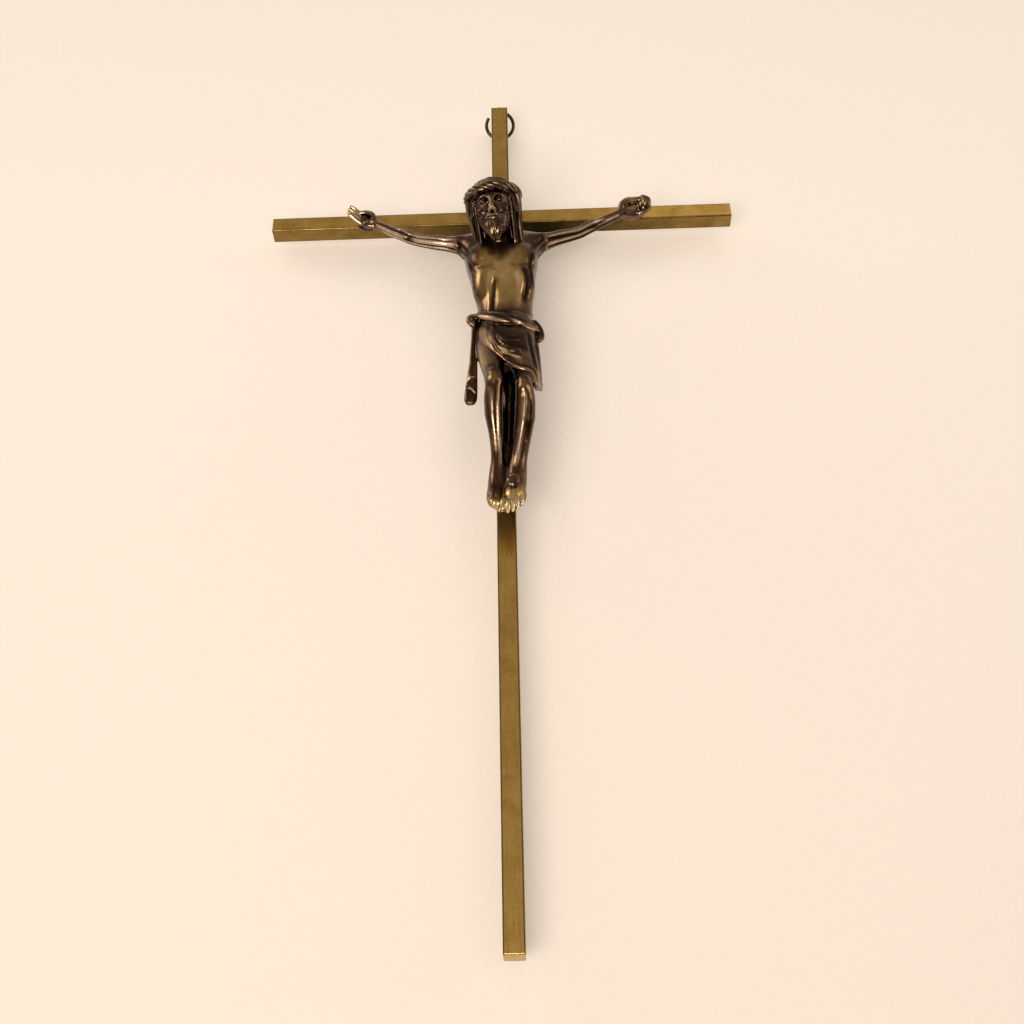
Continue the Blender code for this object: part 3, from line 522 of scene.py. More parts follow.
def add_band(cloth):
    """The rolled waistband: two rolls that cross in front, a thin one above, and the end over the hip."""
    rolls = [[(-7.2, -11.0, -43.6, 0.75), (-6.3, -14.0, -44.6, 0.85), (-4.4, -16.5, -47.0, 1.05),
              (-1.4, -18.3, -49.4, 1.15), (1.2, -19.0, -50.7, 1.0), (3.4, -18.8, -51.4, 0.55)],
             [(0.2, -17.9, -48.4, 0.55), (2.4, -18.5, -49.6, 0.95), (5.0, -18.1, -50.7, 1.1),
              (7.6, -16.1, -50.8, 1.05), (9.0, -12.8, -48.8, 1.0), (9.2, -9.5, -46.5, 0.9)],
             [(-6.2, -13.6, -43.0, 0.35), (-3.2, -16.5, -45.8, 0.45), (1.0, -17.5, -47.4, 0.45),
              (4.8, -17.1, -48.3, 0.45), (7.6, -14.8, -48.0, 0.45)]]
    for roll in rolls:
        cloth.limb(roll, 0.2, 22)
    # the two big rolls: a painted highlight along their lower front, and three pressed lines along each
    for roll in rolls[:2]:
        path = spline([p[:3] for p in roll], 24)
        cloth.painted_light_and_wear([(p[0], p[1] - 0.9, p[2] - 0.9) for p in path[4:-4]], 0.5, 1.1)
        for lift in (-0.5, 0.05, 0.5):
            line = [(p[0], p[1] - 0.95, p[2] + lift + 0.25 * math.sin(i * 0.4))
                    for i, p in enumerate(path[3:-3])]
            cloth.ridge(line, 0.2, -0.22)
    cloth.limb([(8.4, -13.8, -47.6, 1.0), (9.5, -13.4, -49.8, 1.1), (9.9, -13.8, -52.2, 0.95),
                (9.5, -14.8, -54.2, 0.55)], 0.3, 12)
    cloth.ridge([(9.2, -14.7, -48.4), (10.1, -14.5, -50.6), (10.1, -14.9, -53.2)], 0.28, -0.35, 8)


def add_tail(cloth):
    """The free end of the cloth, hanging from a curled knot on the left hip."""
    cloth.ball((-7.6, -13.1, -45.9), (1.4, 1.5, 1.4), 0.4)
    curl = [(-7.7 - 1.25 * math.cos(a), -14.0 - 0.12 * a, -45.8 + 1.25 * math.sin(a), 0.5 - 0.03 * a)
            for a in np.linspace(-1.9, 2.6, 18)]
    cloth.limb(curl, 0.12)
    cloth.ball((-7.8, -14.3, -45.8), (0.5, 0.5, 0.5), 0.15)
    cloth.loft([(-45.6, -7.3, -13.0, 0.75, 0.9, 1.0, 2.4), (-50.0, -7.3, -13.0, 0.8, 0.85, 0.9, 2.8),
                (-57.0, -7.5, -13.0, 0.98, 0.85, 0.9, 3.2), (-64.0, -7.85, -13.0, 1.3, 0.85, 0.9, 3.4),
                (-70.0, -8.25, -13.0, 1.68, 0.85, 0.9, 3.2), (-71.8, -8.35, -13.0, 1.5, 0.7, 0.8, 2.8),
                (-72.7, -8.35, -13.0, 1.0, 0.5, 0.6, 2.2)], 0.3)
    cloth.ridge([(-7.6, -13.9, -47.5), (-7.7, -13.9, -55.0), (-8.1, -13.9, -64.0)], 0.26, -0.4, 14)
    cloth.ridge([(-7.0, -13.8, -47.5), (-7.05, -13.9, -56.0), (-7.3, -13.9, -63.5)], 0.22, -0.28, 14)
    cloth.ridge([(-8.8, -13.8, -62.2), (-8.4, -14.1, -64.6), (-7.2, -13.9, -66.4)], 0.34, 0.4, 10)
    cloth.ridge([(-7.9, -13.9, -63.6), (-7.6, -14.1, -65.0), (-6.9, -13.9, -65.8)], 0.26, -0.35, 8)
    cloth.ridge([(-9.9, -13.8, -66.6), (-8.8, -14.2, -67.6), (-6.9, -13.9, -69.6)], 0.3, 0.5, 12)
    cloth.ridge([(-9.9, -13.8, -67.5), (-8.7, -14.1, -68.6), (-6.9, -13.9, -70.6)], 0.28, -0.42, 12)
    # two thin folds near the end, each with a painted highlight
    for path in ([(-7.1, -13.9, -64.5), (-8.4, -14.1, -64.9), (-9.4, -13.9, -65.8)],
                 [(-9.3, -13.9, -68.1), (-8.1, -14.1, -68.7), (-6.9, -13.9, -70.1)]):
        cloth.ridge(path, 0.2, 0.22, 10, painted_light_and_wear=1.3)


def sculpt_body():
    clay = Clay((-13.0, -25.2, -108.4), (13.0, -4.6, -9.4), BODY_STEP)
    add_torso(clay)
    add_neck(clay)
    add_legs(clay)
    add_cloth(clay)
    add_feet(clay)
    clay.trim(lambda x, y, z: y - BACK)
    clay.trim(lambda x, y, z: np.abs(x) - SEAM_X + SEAM_GAP)
    return clay


# ---------------------------------------------------------------- head
HEAD_CENTRE = (-1.55, -20.4, -12.4)


def head_place():
    """From head space (x to the head's left as seen, y back, z up) into the crucifix's frame."""
    turn = (Matrix.Rotation(math.radians(-5.5), 4, "Y") @ Matrix.Rotation(math.radians(18.0), 4, "X")
            @ Matrix.Rotation(math.radians(-8.0), 4, "Z"))
    return Matrix.Translation(Vector(HEAD_CENTRE) * MM) @ turn


def add_face(clay):
    """A calm, plain face: eyes half way down, nose and mouth at the usual thirds."""
    clay.ball((0.0, 0.9, 1.6), (5.9, 6.5, 5.6), 1.0)
    clay.ball((0.0, -0.8, -1.4), (4.7, 5.0, 7.0), 1.2)
    clay.ball((0.0, -2.6, -5.6), (2.7, 3.0, 2.5), 1.4)
    for side in (-1, 1):
        clay.ball((side * 2.15, -5.4, 0.15), (1.3, 0.85, 0.75), 0.5, carve=True)
        clay.ball((side * 2.15, -4.75, -0.1), (1.1, 0.95, 0.75), 0.2)
        clay.ridge([(side * 0.8, -5.9, 1.2), (side * 2.1, -6.0, 1.6), (side * 3.6, -5.0, 1.1)], 0.5, 0.36, 12)
        clay.ridge([(side * 1.2, -5.3, -0.55), (side * 2.15, -5.6, -0.78), (side * 3.1, -5.0, -0.55)],
                   0.13, -0.3, 10)
        clay.ridge([(side * 1.1, -5.2, -0.85), (side * 2.15, -5.5, -1.1), (side * 3.2, -4.9, -0.85)],
                   0.2, 0.14, 10)
        clay.ball((side * 2.75, -4.3, -2.5), (1.4, 1.0, 1.3), 0.8)
        clay.ball((side * 0.7, -6.1, -3.1), (0.5, 0.6, 0.42), 0.25)
    clay.limb([(0.0, -5.4, 1.0, 0.55), (0.0, -6.4, -1.5, 0.5), (0.0, -6.9, -2.8, 0.6)], 0.5, 8)
    clay.ball((0.0, -6.7, -3.05), (0.55, 0.6, 0.48), 0.2)
    clay.ridge([(-1.3, -5.3, -4.7), (-0.45, -5.9, -4.6), (0.45, -5.9, -4.6), (1.3, -5.3, -4.7)],
               0.17, -0.42, 12)
    clay.ridge([(-0.95, -5.6, -5.05), (0.0, -6.0, -5.12), (0.95, -5.6, -5.05)], 0.28, 0.3, 10)
    clay.ridge([(-0.95, -5.6, -4.35), (0.0, -5.9, -4.3), (0.95, -5.6, -4.35)], 0.24, 0.22, 10)


def add_beard(clay):
    rng = np.random.default_rng(5)
    clay.ball((0.0, -3.1, -7.2), (2.9, 2.6, 2.3), 0.7)
    for side in (-1, 1):
        clay.limb([(side * 0.9, -4.6, -7.4, 1.3), (side * 0.75, -4.3, -9.0, 0.95),
                   (side * 0.6, -3.7, -10.3, 0.5)], 0.35, 8)
    for side in (-1, 1):
        clay.ridge([(side * 0.15, -6.3, -3.9), (side * 1.3, -5.9, -4.2), (side * 2.0, -5.3, -5.4)],
                   0.34, 0.45, 10)
        for i in range(9):
            x = side * (0.2 + 0.43 * i)
            depth = -5.9 + 0.075 * i * i
            wave = rng.uniform(-0.2, 0.2)
            path = [(x, depth, -5.7 + 0.34 * i), (x * 0.95 + wave, depth - 0.05, -7.2 + 0.2 * i),
                    (x * 0.6 + wave, depth + 0.9, -9.0 + 0.22 * i)]
            clay.ridge(path, 0.17, 0.3, 12)
            clay.ridge([(px + side * 0.21, py, pz) for px, py, pz in path], 0.13, -0.26, 12)


def add_hair(clay):
    rng = np.random.default_rng(11)
    clay.ball((0.0, 1.4, 2.5), (6.5, 6.7, 5.3), 0.6)
    for side in (-1, 1):
        clay.limb([(side * 5.2, -0.6, 4.0, 2.2), (side * 5.5, 0.6, 0.0, 1.9), (side * 5.2, 2.4, -4.5, 1.5),
                   (side * 5.3, 4.2, -9.8, 1.25)], 0.6, 14)
        clay.limb([(side * 4.6, 2.8, 0.0, 2.6), (side * 3.9, 4.6, -5.0, 2.4), (side * 3.7, 5.6, -9.6, 2.0)],
                  0.8, 10)
    clay.limb([(0.0, 4.0, 2.0, 5.0), (0.0, 5.2, -4.0, 4.4), (0.0, 5.6, -8.5, 3.4)], 1.0, 8)
    for side in (-1, 1):
        # long straight strands, each a thin lock beside a groove
        for i in range(9):
            depth = -3.9 + 0.95 * i
            out = 1.0 - 0.3 * abs(i - 4.5) / 4.5
            wave = [rng.uniform(-0.22, 0.22) for _ in range(3)]
            path = [(side * 5.7 * out, depth + 0.3, 3.6), (side * (7.0 * out + wave[0]), depth + 1.2, 0.0),
                    (side * (6.6 * out + wave[1]), depth * 0.75 + 2.6, -4.6),
                    (side * (6.6 * out + wave[2]), depth * 0.5 + 3.9, -10.2 + 0.4 * (i % 3))]
            clay.limb([(*p, r) for p, r in zip(path, (0.5, 0.55, 0.5, 0.28))], 0.08, 16)
            # painted shade along the two front locks to dull their highlight, and a painted highlight on
            # every other strand behind them
            clay.painted_light_and_wear([(p[0] + side * 0.2, p[1] - 0.4, p[2]) for p in path], 0.7 if i < 2 else 0.2,
                       -1.3 if i < 2 else 0.35 * (i % 2))
        # over the brow, from the parting
        for i in range(6):
            start = (side * 0.25, -5.2 + 0.5 * i, 4.8 + 0.6 * i)
            path = [start, (side * (3.0 + 0.2 * i), -5.0 + 0.75 * i, 3.6 + 0.7 * i),
                    (side * (5.1 + 0.22 * i), -3.2 + 0.7 * i, 1.2 + 0.5 * i),
                    (side * (5.5 + 0.25 * i), -1.6 + 0.5 * i, -2.0)]
            clay.limb([(*p, r) for p, r in zip(path, (0.42, 0.5, 0.5, 0.4))], 0.1, 14)
        for i in range(12):
            around = 0.15 + 0.25 * i
            sx, sy = math.sin(around), -math.cos(around)
            clay.ridge([(side * 0.3, -1.5 + 0.42 * i, 7.8), (side * 4.3 * sx, 1.4 + 4.6 * sy, 6.6),
                        (side * 6.4 * sx, 1.4 + 6.5 * sy, 3.6)], 0.2, 0.3, 12, taper=False)


def add_crown(clay):
    """A plaited band of five strands twisted round each other, with short thorns."""
    rng = np.random.default_rng(3)
    around = np.linspace(0.0, 2 * math.pi, 121)
    for strand in range(5):
        phase = strand * 2 * math.pi / 5
        rows = []
        for a in around:
            twist = 4 * a + phase
            out = 0.62 * math.cos(twist)
            rows.append((-(6.95 + out) * math.sin(a), 0.7 - (6.75 + out) * math.cos(a),
                         3.7 + 0.8 * math.sin(twist) + 0.3 * math.cos(a), 0.46))
        clay.limb(rows, 0.08)
    for i in range(14):
        a = 2 * math.pi * (i + rng.uniform(0.1, 0.5)) / 14
        root = np.array((-7.4 * math.sin(a), 0.7 - 7.25 * math.cos(a), 3.7 + rng.uniform(-0.6, 0.6)))
        lean = np.array((-math.sin(a + 1.1), -math.cos(a + 1.1), rng.uniform(-0.5, 0.6)))
        clay.limb([(*(root - 0.3 * lean), 0.26), (*(root + 0.5 * lean), 0.1)], 0.1)


def sculpt_head():
    clay = Clay((-9.2, -9.0, -12.4), (9.2, 10.4, 10.2), HEAD_STEP)
    add_face(clay)
    add_beard(clay)
    add_hair(clay)
    add_crown(clay)
    clay.limb([(0.0, 2.5, -4.0, 3.2), (0.3, 5.0, -8.6, 3.2)], 1.0)
    return clay


# ---------------------------------------------------------------- arms
def add_muscles(clay, path, side, lines):
    """An arm along a path of rows (x, y, z, radius). Each line runs along it from one of 34 rows to another,
    at an angle down from the front, raised or pressed in, and painted bright as a highlight or dark as shade,
    partly standing for rubbed wear."""
    clay.limb(path, 0.6, 34)
    fine = spline(path, 34)
    for centre, length in ((fine[8], 3.0), (fine[19], 2.8)):
        clay.ball((centre[0], centre[1] - 0.45, centre[2] + 0.1), (length, 1.45, 1.5), 0.5,
                  (0.0, -side * 28.0, 0.0))
    for start, end, angle, width, height, painted_light_and_wear in lines:
        down = math.radians(angle)
        clay.ridge([(x, y - r * math.cos(down), z - r * math.sin(down)) for x, y, z, r in fine[start:end]],
                   width, height, painted_light_and_wear=painted_light_and_wear)


def sculpt_left_side_arm():
    clay = Clay((-45.0, -14.5, -19.8), (-11.0, -4.6, 2.5), ARM_STEP)
    add_shoulder(clay, -1)
    add_muscles(clay, [(-10.6, -10.8, -16.4, 2.3), (-13.0, -10.75, -15.8, 1.95), (-17.7, -10.5, -14.6, 1.8),
                       (-22.8, -10.0, -13.0, 1.5), (-26.3, -9.9, -11.2, 1.45), (-29.9, -9.6, -9.0, 1.3),
                       (-32.6, -9.3, -7.0, 1.1), (-35.2, -9.0, -5.2, 1.0)], -1,
                [(3, 22, 8, 0.24, 0.3, 0.8), (3, 20, 22, 0.22, -0.25, -0.3), (3, 18, 45, 0.7, 0.12, 0.95),
                 (3, 20, 70, 0.22, -0.35, -0.5), (3, 30, 84, 0.22, 0.3, 0.9), (3, 26, 104, 0.24, -0.3, -0.5),
                 (18, 33, 50, 0.3, 0.3, 0.9), (18, 33, 22, 0.3, -0.2, -0.2), (18, 33, 2, 0.35, 0.2, 0.15)])
    clay.ball((-37.5, -7.5, -3.8), (2.9, 1.5, 2.5), 0.8, (0.0, 24.0, 0.0))
    clay.limb([(-35.2, -9.0, -5.1, 1.0), (-36.6, -8.4, -4.4, 1.3)], 0.8)
    clay.ball((-37.0, -9.0, -5.9), (1.9, 0.9, 0.7), 0.4, (0.0, 20.0, 0.0))
    # four straight fingers, close together, and the thumb folded over the palm
    for i in range(4):
        across = i - 1.5
        root = np.array((-38.8 - 0.15 * across, -8.8, -3.2 - 1.1 * across))
        knuckle = np.array((-40.3 - 0.15 * across, -9.6, -2.5 - 1.08 * across))
        tip = np.array((-42.4 + (0.3, 0.0, 0.05, 0.45)[i] - 0.2 * across, -10.7, -1.6 - 1.02 * across))
        middle = (knuckle + tip) / 2 + (0, -0.12, 0.05)
        clay.limb([(*root, 0.58), (*knuckle, 0.55), (*middle, 0.51), (*tip, 0.46)], 0.04, 12)
        # a painted highlight along each finger, partly rubbed wear
        clay.painted_light_and_wear([root + (0.0, -0.6, -0.2), knuckle + (0.0, -0.6, -0.2), tip + (0.0, -0.4, -0.2)],
                   0.26, 0.5)
    clay.limb([(-35.5, -9.0, -3.6, 0.85), (-36.2, -9.5, -2.2, 0.85), (-37.8, -9.6, -1.5, 0.7),
               (-39.6, -9.6, -1.5, 0.5)], 0.2, 14)
    clay.ridge([(-35.9, -9.8, -3.6), (-37.6, -9.4, -2.4), (-39.4, -9.3, -2.2)], 0.3, -0.4, 10)
    return clay


def sculpt_right_side_arm():
    clay = Clay((11.0, -14.5, -19.8), (43.5, -4.6, 4.0), ARM_STEP)
    add_shoulder(clay, 1)
    add_muscles(clay, [(10.6, -10.8, -16.4, 2.3), (13.0, -10.75, -15.5, 1.95), (16.8, -10.5, -14.1, 1.75),
                       (21.4, -10.0, -12.3, 1.45), (24.4, -9.9, -10.4, 1.38), (27.8, -9.6, -8.2, 1.25),
                       (31.0, -9.2, -6.0, 1.1), (33.4, -9.0, -4.6, 1.0)], 1,
                [(3, 26, 14, 0.26, 0.4, 1.1), (3, 26, 38, 0.34, -0.45, -0.6), (3, 22, 62, 0.26, 0.4, 1.1),
                 (3, 24, 84, 0.3, -0.35, -0.6), (20, 33, 50, 0.3, 0.3, 0.5), (18, 33, 76, 0.3, -0.3, -0.4),
                 (3, 20, 104, 0.25, 0.25, 0.2)])
    # a cupped hand: palm hollowed out, thumb along the upper rim, fingers curled up at the far end
    clay.ball((36.9, -8.0, -2.6), (4.3, 2.2, 2.8), 0.7, (0.0, -18.0, 0.0))
    clay.limb([(33.2, -9.0, -4.7, 1.0), (35.4, -8.7, -3.6, 1.5)], 0.8)
    clay.ball((36.9, -12.2, -1.9), (2.8, 2.0, 1.9), 0.8, (0.0, -18.0, 0.0), carve=True)
    clay.limb([(33.4, -9.3, -3.9, 0.8), (33.9, -10.0, -2.2, 0.85), (35.4, -10.5, -1.0, 0.78),
               (37.2, -10.5, -0.8, 0.68), (38.8, -10.5, -0.6, 0.62), (40.2, -10.6, -0.3, 0.6)], 0.3, 18)
    clay.ball((39.9, -9.8, -2.5), (1.6, 1.7, 2.3), 0.5)
    for i in range(4):
        root = np.array((38.6, -8.8, -4.5 + 0.85 * i))
        knuckle = np.array((40.5 + 0.1 * i, -9.4, -3.8 + 0.8 * i))
        middle = np.array((41.2, -10.4, -3.3 + 0.78 * i))
        tip = np.array((40.3 - 0.2 * i, -11.2, -2.9 + 0.75 * i))
        clay.limb([(*root, 0.75), (*knuckle, 0.8), (*middle, 0.78), (*tip, 0.72)], 0.12, 14)
    return clay


ARMS = {-1: sculpt_left_side_arm, 1: sculpt_right_side_arm}


def sculpt_arm(side):
    clay = ARMS[side]()
    clay.trim(lambda x, y, z: y - BACK)
    clay.trim(lambda x, y, z: SEAM_X + SEAM_GAP - side * x)
    return clay


def wear_and_light_patches(points, patches):
    """Soft patches of (centre, half, amount), added up at each point: rubbed wear and gold, and painted
    highlights and painted shade.
    """
    amount = np.zeros(len(points))
    for centre, half, strength in patches:
        away = (((points - np.array(centre)) / np.array(half)) ** 2).sum(1)
        amount += strength * np.exp(-away)
    return amount


def marked(points, marks):
    """What the sculpt's marked lines add at each point, painted highlights and painted shade that partly
    stand for wear, fading out at their ends.
    """
    amount = np.zeros(len(points))
    for line, width, strength in marks:
        low, high = line.min(0) - 2.5 * width, line.max(0) + 2.5 * width
        near = np.flatnonzero(((points > low) & (points < high)).all(1))
        nearest = np.full(len(near), 99.0)
        place = np.zeros(len(near))
        for i, (a, b) in enumerate(zip(line, line[1:])):
            along = b - a
            t = np.clip((points[near] - a) @ along / max(along @ along, 1e-9), 0.0, 1.0)
            away = ((points[near] - a - t[:, None] * along) ** 2).sum(1)
            place = np.where(away < nearest, (i + t) / (len(line) - 1), place)
            nearest = np.minimum(nearest, away)
        fade = np.clip(6.0 * np.minimum(place, 1.0 - place), 0.0, 1.0)
        amount[near] += strength * fade * np.exp(-nearest / width ** 2)
    return amount


def shape_mesh(name, clay, place=None, patches=(), golden=()):
    points, quads = clay.surface()
    mesh = bpy.data.meshes.new(name)
    mesh.vertices.add(len(points))
    mesh.vertices.foreach_set("co", (points * MM).ravel())
    mesh.loops.add(quads.size)
    mesh.loops.foreach_set("vertex_index", quads.ravel())
    mesh.polygons.add(len(quads))
    mesh.polygons.foreach_set("loop_start", np.arange(len(quads)) * 4)
    mesh.update(calc_edges=True)
    # the attribute sums patina and wear from the relief with painted highlights and painted shade from the
    # patches and marked lines
    wear = mesh.attributes.new("wear", "FLOAT", "POINT")
    stands_out = 0.55 * clay.relief(points, 0.35) + 0.45 * clay.relief(points, 0.9)
    stands_out *= np.clip((np.abs(np.abs(points[:, 0]) - SEAM_X) - 0.2) / 1.2, 0.0, 1.0)
    total = stands_out + wear_and_light_patches(points, patches) + marked(points, clay.marks)
    wear.data.foreach_set("value", total.astype(np.float32))
    gold = mesh.attributes.new("gold", "FLOAT", "POINT")
    gold.data.foreach_set("value", np.clip(wear_and_light_patches(points, golden), 0.0, 1.0).astype(np.float32))
    mesh.shade_smooth()
    obj = bpy.data.objects.new(name, mesh)
    bpy.context.scene.collection.objects.link(obj)
    if place is not None:
        mesh.transform(place)
    return obj


# ---------------------------------------------------------------- small parts
def grow_mesh(name, rows):
    """A closed body from rings of points in metres, all of one length, with flat ends."""
    rings = np.array(rows, float)
    count, around = rings.shape[:2]
    vertices = rings.reshape(-1, 3)
    faces = []
    for i in range(count - 1):
        for j in range(around):
            a, b = i * around, (i + 1) * around
            faces.append((a + j, a + (j + 1) % around, b + (j + 1) % around, b + j))
    faces.append(tuple(range(around))[::-1])
    faces.append(tuple((count - 1) * around + j for j in range(around)))
    mesh = bpy.data.meshes.new(name)
    mesh.from_pydata(vertices.tolist(), [], faces)
    mesh.validate()
    mesh.shade_smooth()
    obj = bpy.data.objects.new(name, mesh)
    bpy.context.scene.collection.objects.link(obj)
    return obj


def wire(name, path, radius, around, rounding, wobble=0.0, seed=1):
    """A drawn wire along points in millimetres, with cut ends slightly rounded over."""
    path = np.array(path, float)
    rng = np.random.default_rng(seed)
    rows = []
    side = None
    for i, point in enumerate(path):
        ahead = path[min(i + 1, len(path) - 1)] - path[max(i - 1, 0)]
        ahead = ahead / np.linalg.norm(ahead)
        if side is None:
            side = np.cross(ahead, (0.3, 0.2, 0.9))
        side = side - ahead * (side @ ahead)
        side = side / np.linalg.norm(side)
        other = np.cross(ahead, side)
        size = radius * (1.0 + wobble * rng.uniform(-1.0, 1.0))
        rows.append([(point + size * (side * math.cos(a) + other * math.sin(a))) * MM
                     for a in np.linspace(0.0, 2 * math.pi, around, endpoint=False)])
    for end, inward in ((0, 1), (len(rows) - 1, -1)):
        centre = path[end] * MM
        direction = (path[end + inward] - path[end]) / np.linalg.norm(path[end + inward] - path[end])
        rim = [centre + (np.array(p) - centre) * (1.0 - rounding / radius) for p in rows[end]]
        shoulder = [np.array(p) + direction * rounding * MM for p in rows[end]]
        if end == 0:
            rows = [rim, shoulder] + rows[1:]
        else:
            rows = rows[:-1] + [shoulder, rim]
    return grow_mesh(name, rows)


def nail(name, head, route, slant, radius, seed):
    """A hand-made nail: a domed, slightly uneven head, and a shank that follows a route from its tail."""
    rng = np.random.default_rng(seed)
    around = 40
    neck = [(0.55, 1.2), (0.6, 0.2), (1.3, 0.12)]
    rim = [(radius, 0.02), (radius + 0.06, -0.14), (radius - 0.02, -0.34)]
    dome = [(0.9, -0.56), (0.74, -0.76), (0.52, -0.92), (0.28, -0.99), (0.08, -1.0)]
    profile = neck + rim + [(radius * part, y) for part, y in dome]
    bumps = [(k, rng.uniform(0, 2 * math.pi), rng.uniform(0.01, 0.03)) for k in (2, 3, 5, 7)]
    spin = np.array(Matrix.Rotation(slant, 3, "X"))
    turns = np.linspace(0.0, 2 * math.pi, around, endpoint=False)
    rows = []
    for point, r in zip(route, (0.75 * SHANK_RADIUS,) + (SHANK_RADIUS,) * (len(route) - 1)):
        rows.append([(point + np.array((r * math.cos(a), 0.0, r * math.sin(a)))) * MM for a in turns])
    for r, y in profile:
        row = []
        for a in turns:
            swell = 1.0 + sum(size * math.cos(k * a + phase) for k, phase, size in bumps)
            point = np.array((r * swell * math.cos(a), y + 0.04 * math.cos(3 * a + seed),
                              r * swell * math.sin(a)))
            row.append((spin @ point + head) * MM)
        rows.append(row)
    return grow_mesh(name, rows)


def eye_path():
    """The hanger's wire: straight out of the top end, then round into an eye that doesn't quite close."""
    centre = np.array(EYE_CENTRE)
    path = [(0.0, -BAR / 2, z) for z in np.linspace(PIN_END, BAR_TOP, 12)]
    for a in np.linspace(math.pi, math.pi - math.radians(318.0), 48):
        path.append(centre + EYE_RADIUS * np.array((0.0, math.cos(a), math.sin(a))))
    return path


def ring_path():
    """An open ring that hangs from the eye, leaning back to the wall."""
    lean = np.array(Matrix.Rotation(math.radians(RING_LEAN), 3, "X"))
    angles = np.linspace(math.radians(54.0), math.radians(390.0), 120)
    return [lean @ np.array((-RING_RADIUS * math.sin(a), 0.0, RING_RADIUS * (math.cos(a) - 1.0)))
            + np.array(EYE_CENTRE) for a in angles]


# ---------------------------------------------------------------- materials
def new_material(name):
    """A node material and a helper that adds a node and sets its plain values."""
    material = bpy.data.materials.new(name)
    material.use_nodes = True
    tree = material.node_tree
    tree.nodes.clear()

    def node(kind, settings=None, **inputs):
        item = tree.nodes.new(kind)
        for key, value in (settings or {}).items():
            setattr(item, key, value)
        for key, value in inputs.items():
            socket = item.inputs[int(key[1:])] if key[0] == "i" and key[1:].isdigit() else item.inputs[
                key.replace("_", " ")]
            if isinstance(value, bpy.types.NodeSocket):
                tree.links.new(value, socket)
            else:
                socket.default_value = value
        return item

    return material, node


def ramp(node, factor, stops):
    item = node("ShaderNodeValToRGB", Fac=factor)
    elements = item.color_ramp.elements
    while len(elements) < len(stops):
        elements.new(0.5)
    for element, (place, colour) in zip(elements, stops):
        element.position = place
        element.color = (*colour, 1.0) if isinstance(colour, tuple) else (colour, colour, colour, 1.0)
    return item.outputs["Color"]


def remap(node, value, start, end, low=0.0, high=1.0):
    """Take start..end of a value to low..high."""
    return node("ShaderNodeMapRange", Value=value, i1=start, i2=end, i3=low, i4=high).outputs[0]


def maths(node, operation, first, second=0.5):
    return node("ShaderNodeMath", {"operation": operation}, i0=first, i1=second).outputs[0]


def multiply(node, colour, by, factor=1.0):
    """A colour darkened or lightened by another, as far as the factor says."""
    settings = {"data_type": "RGBA", "blend_type": "MULTIPLY"}
    return node("ShaderNodeMix", settings, i0=factor, i6=colour, i7=by).outputs[2]


def noise(node, where, scale, detail, roughness, distortion=0.0):
    return node("ShaderNodeTexNoise", Vector=where, Scale=scale, Detail=detail, Roughness=roughness,
                Distortion=distortion).outputs["Fac"]


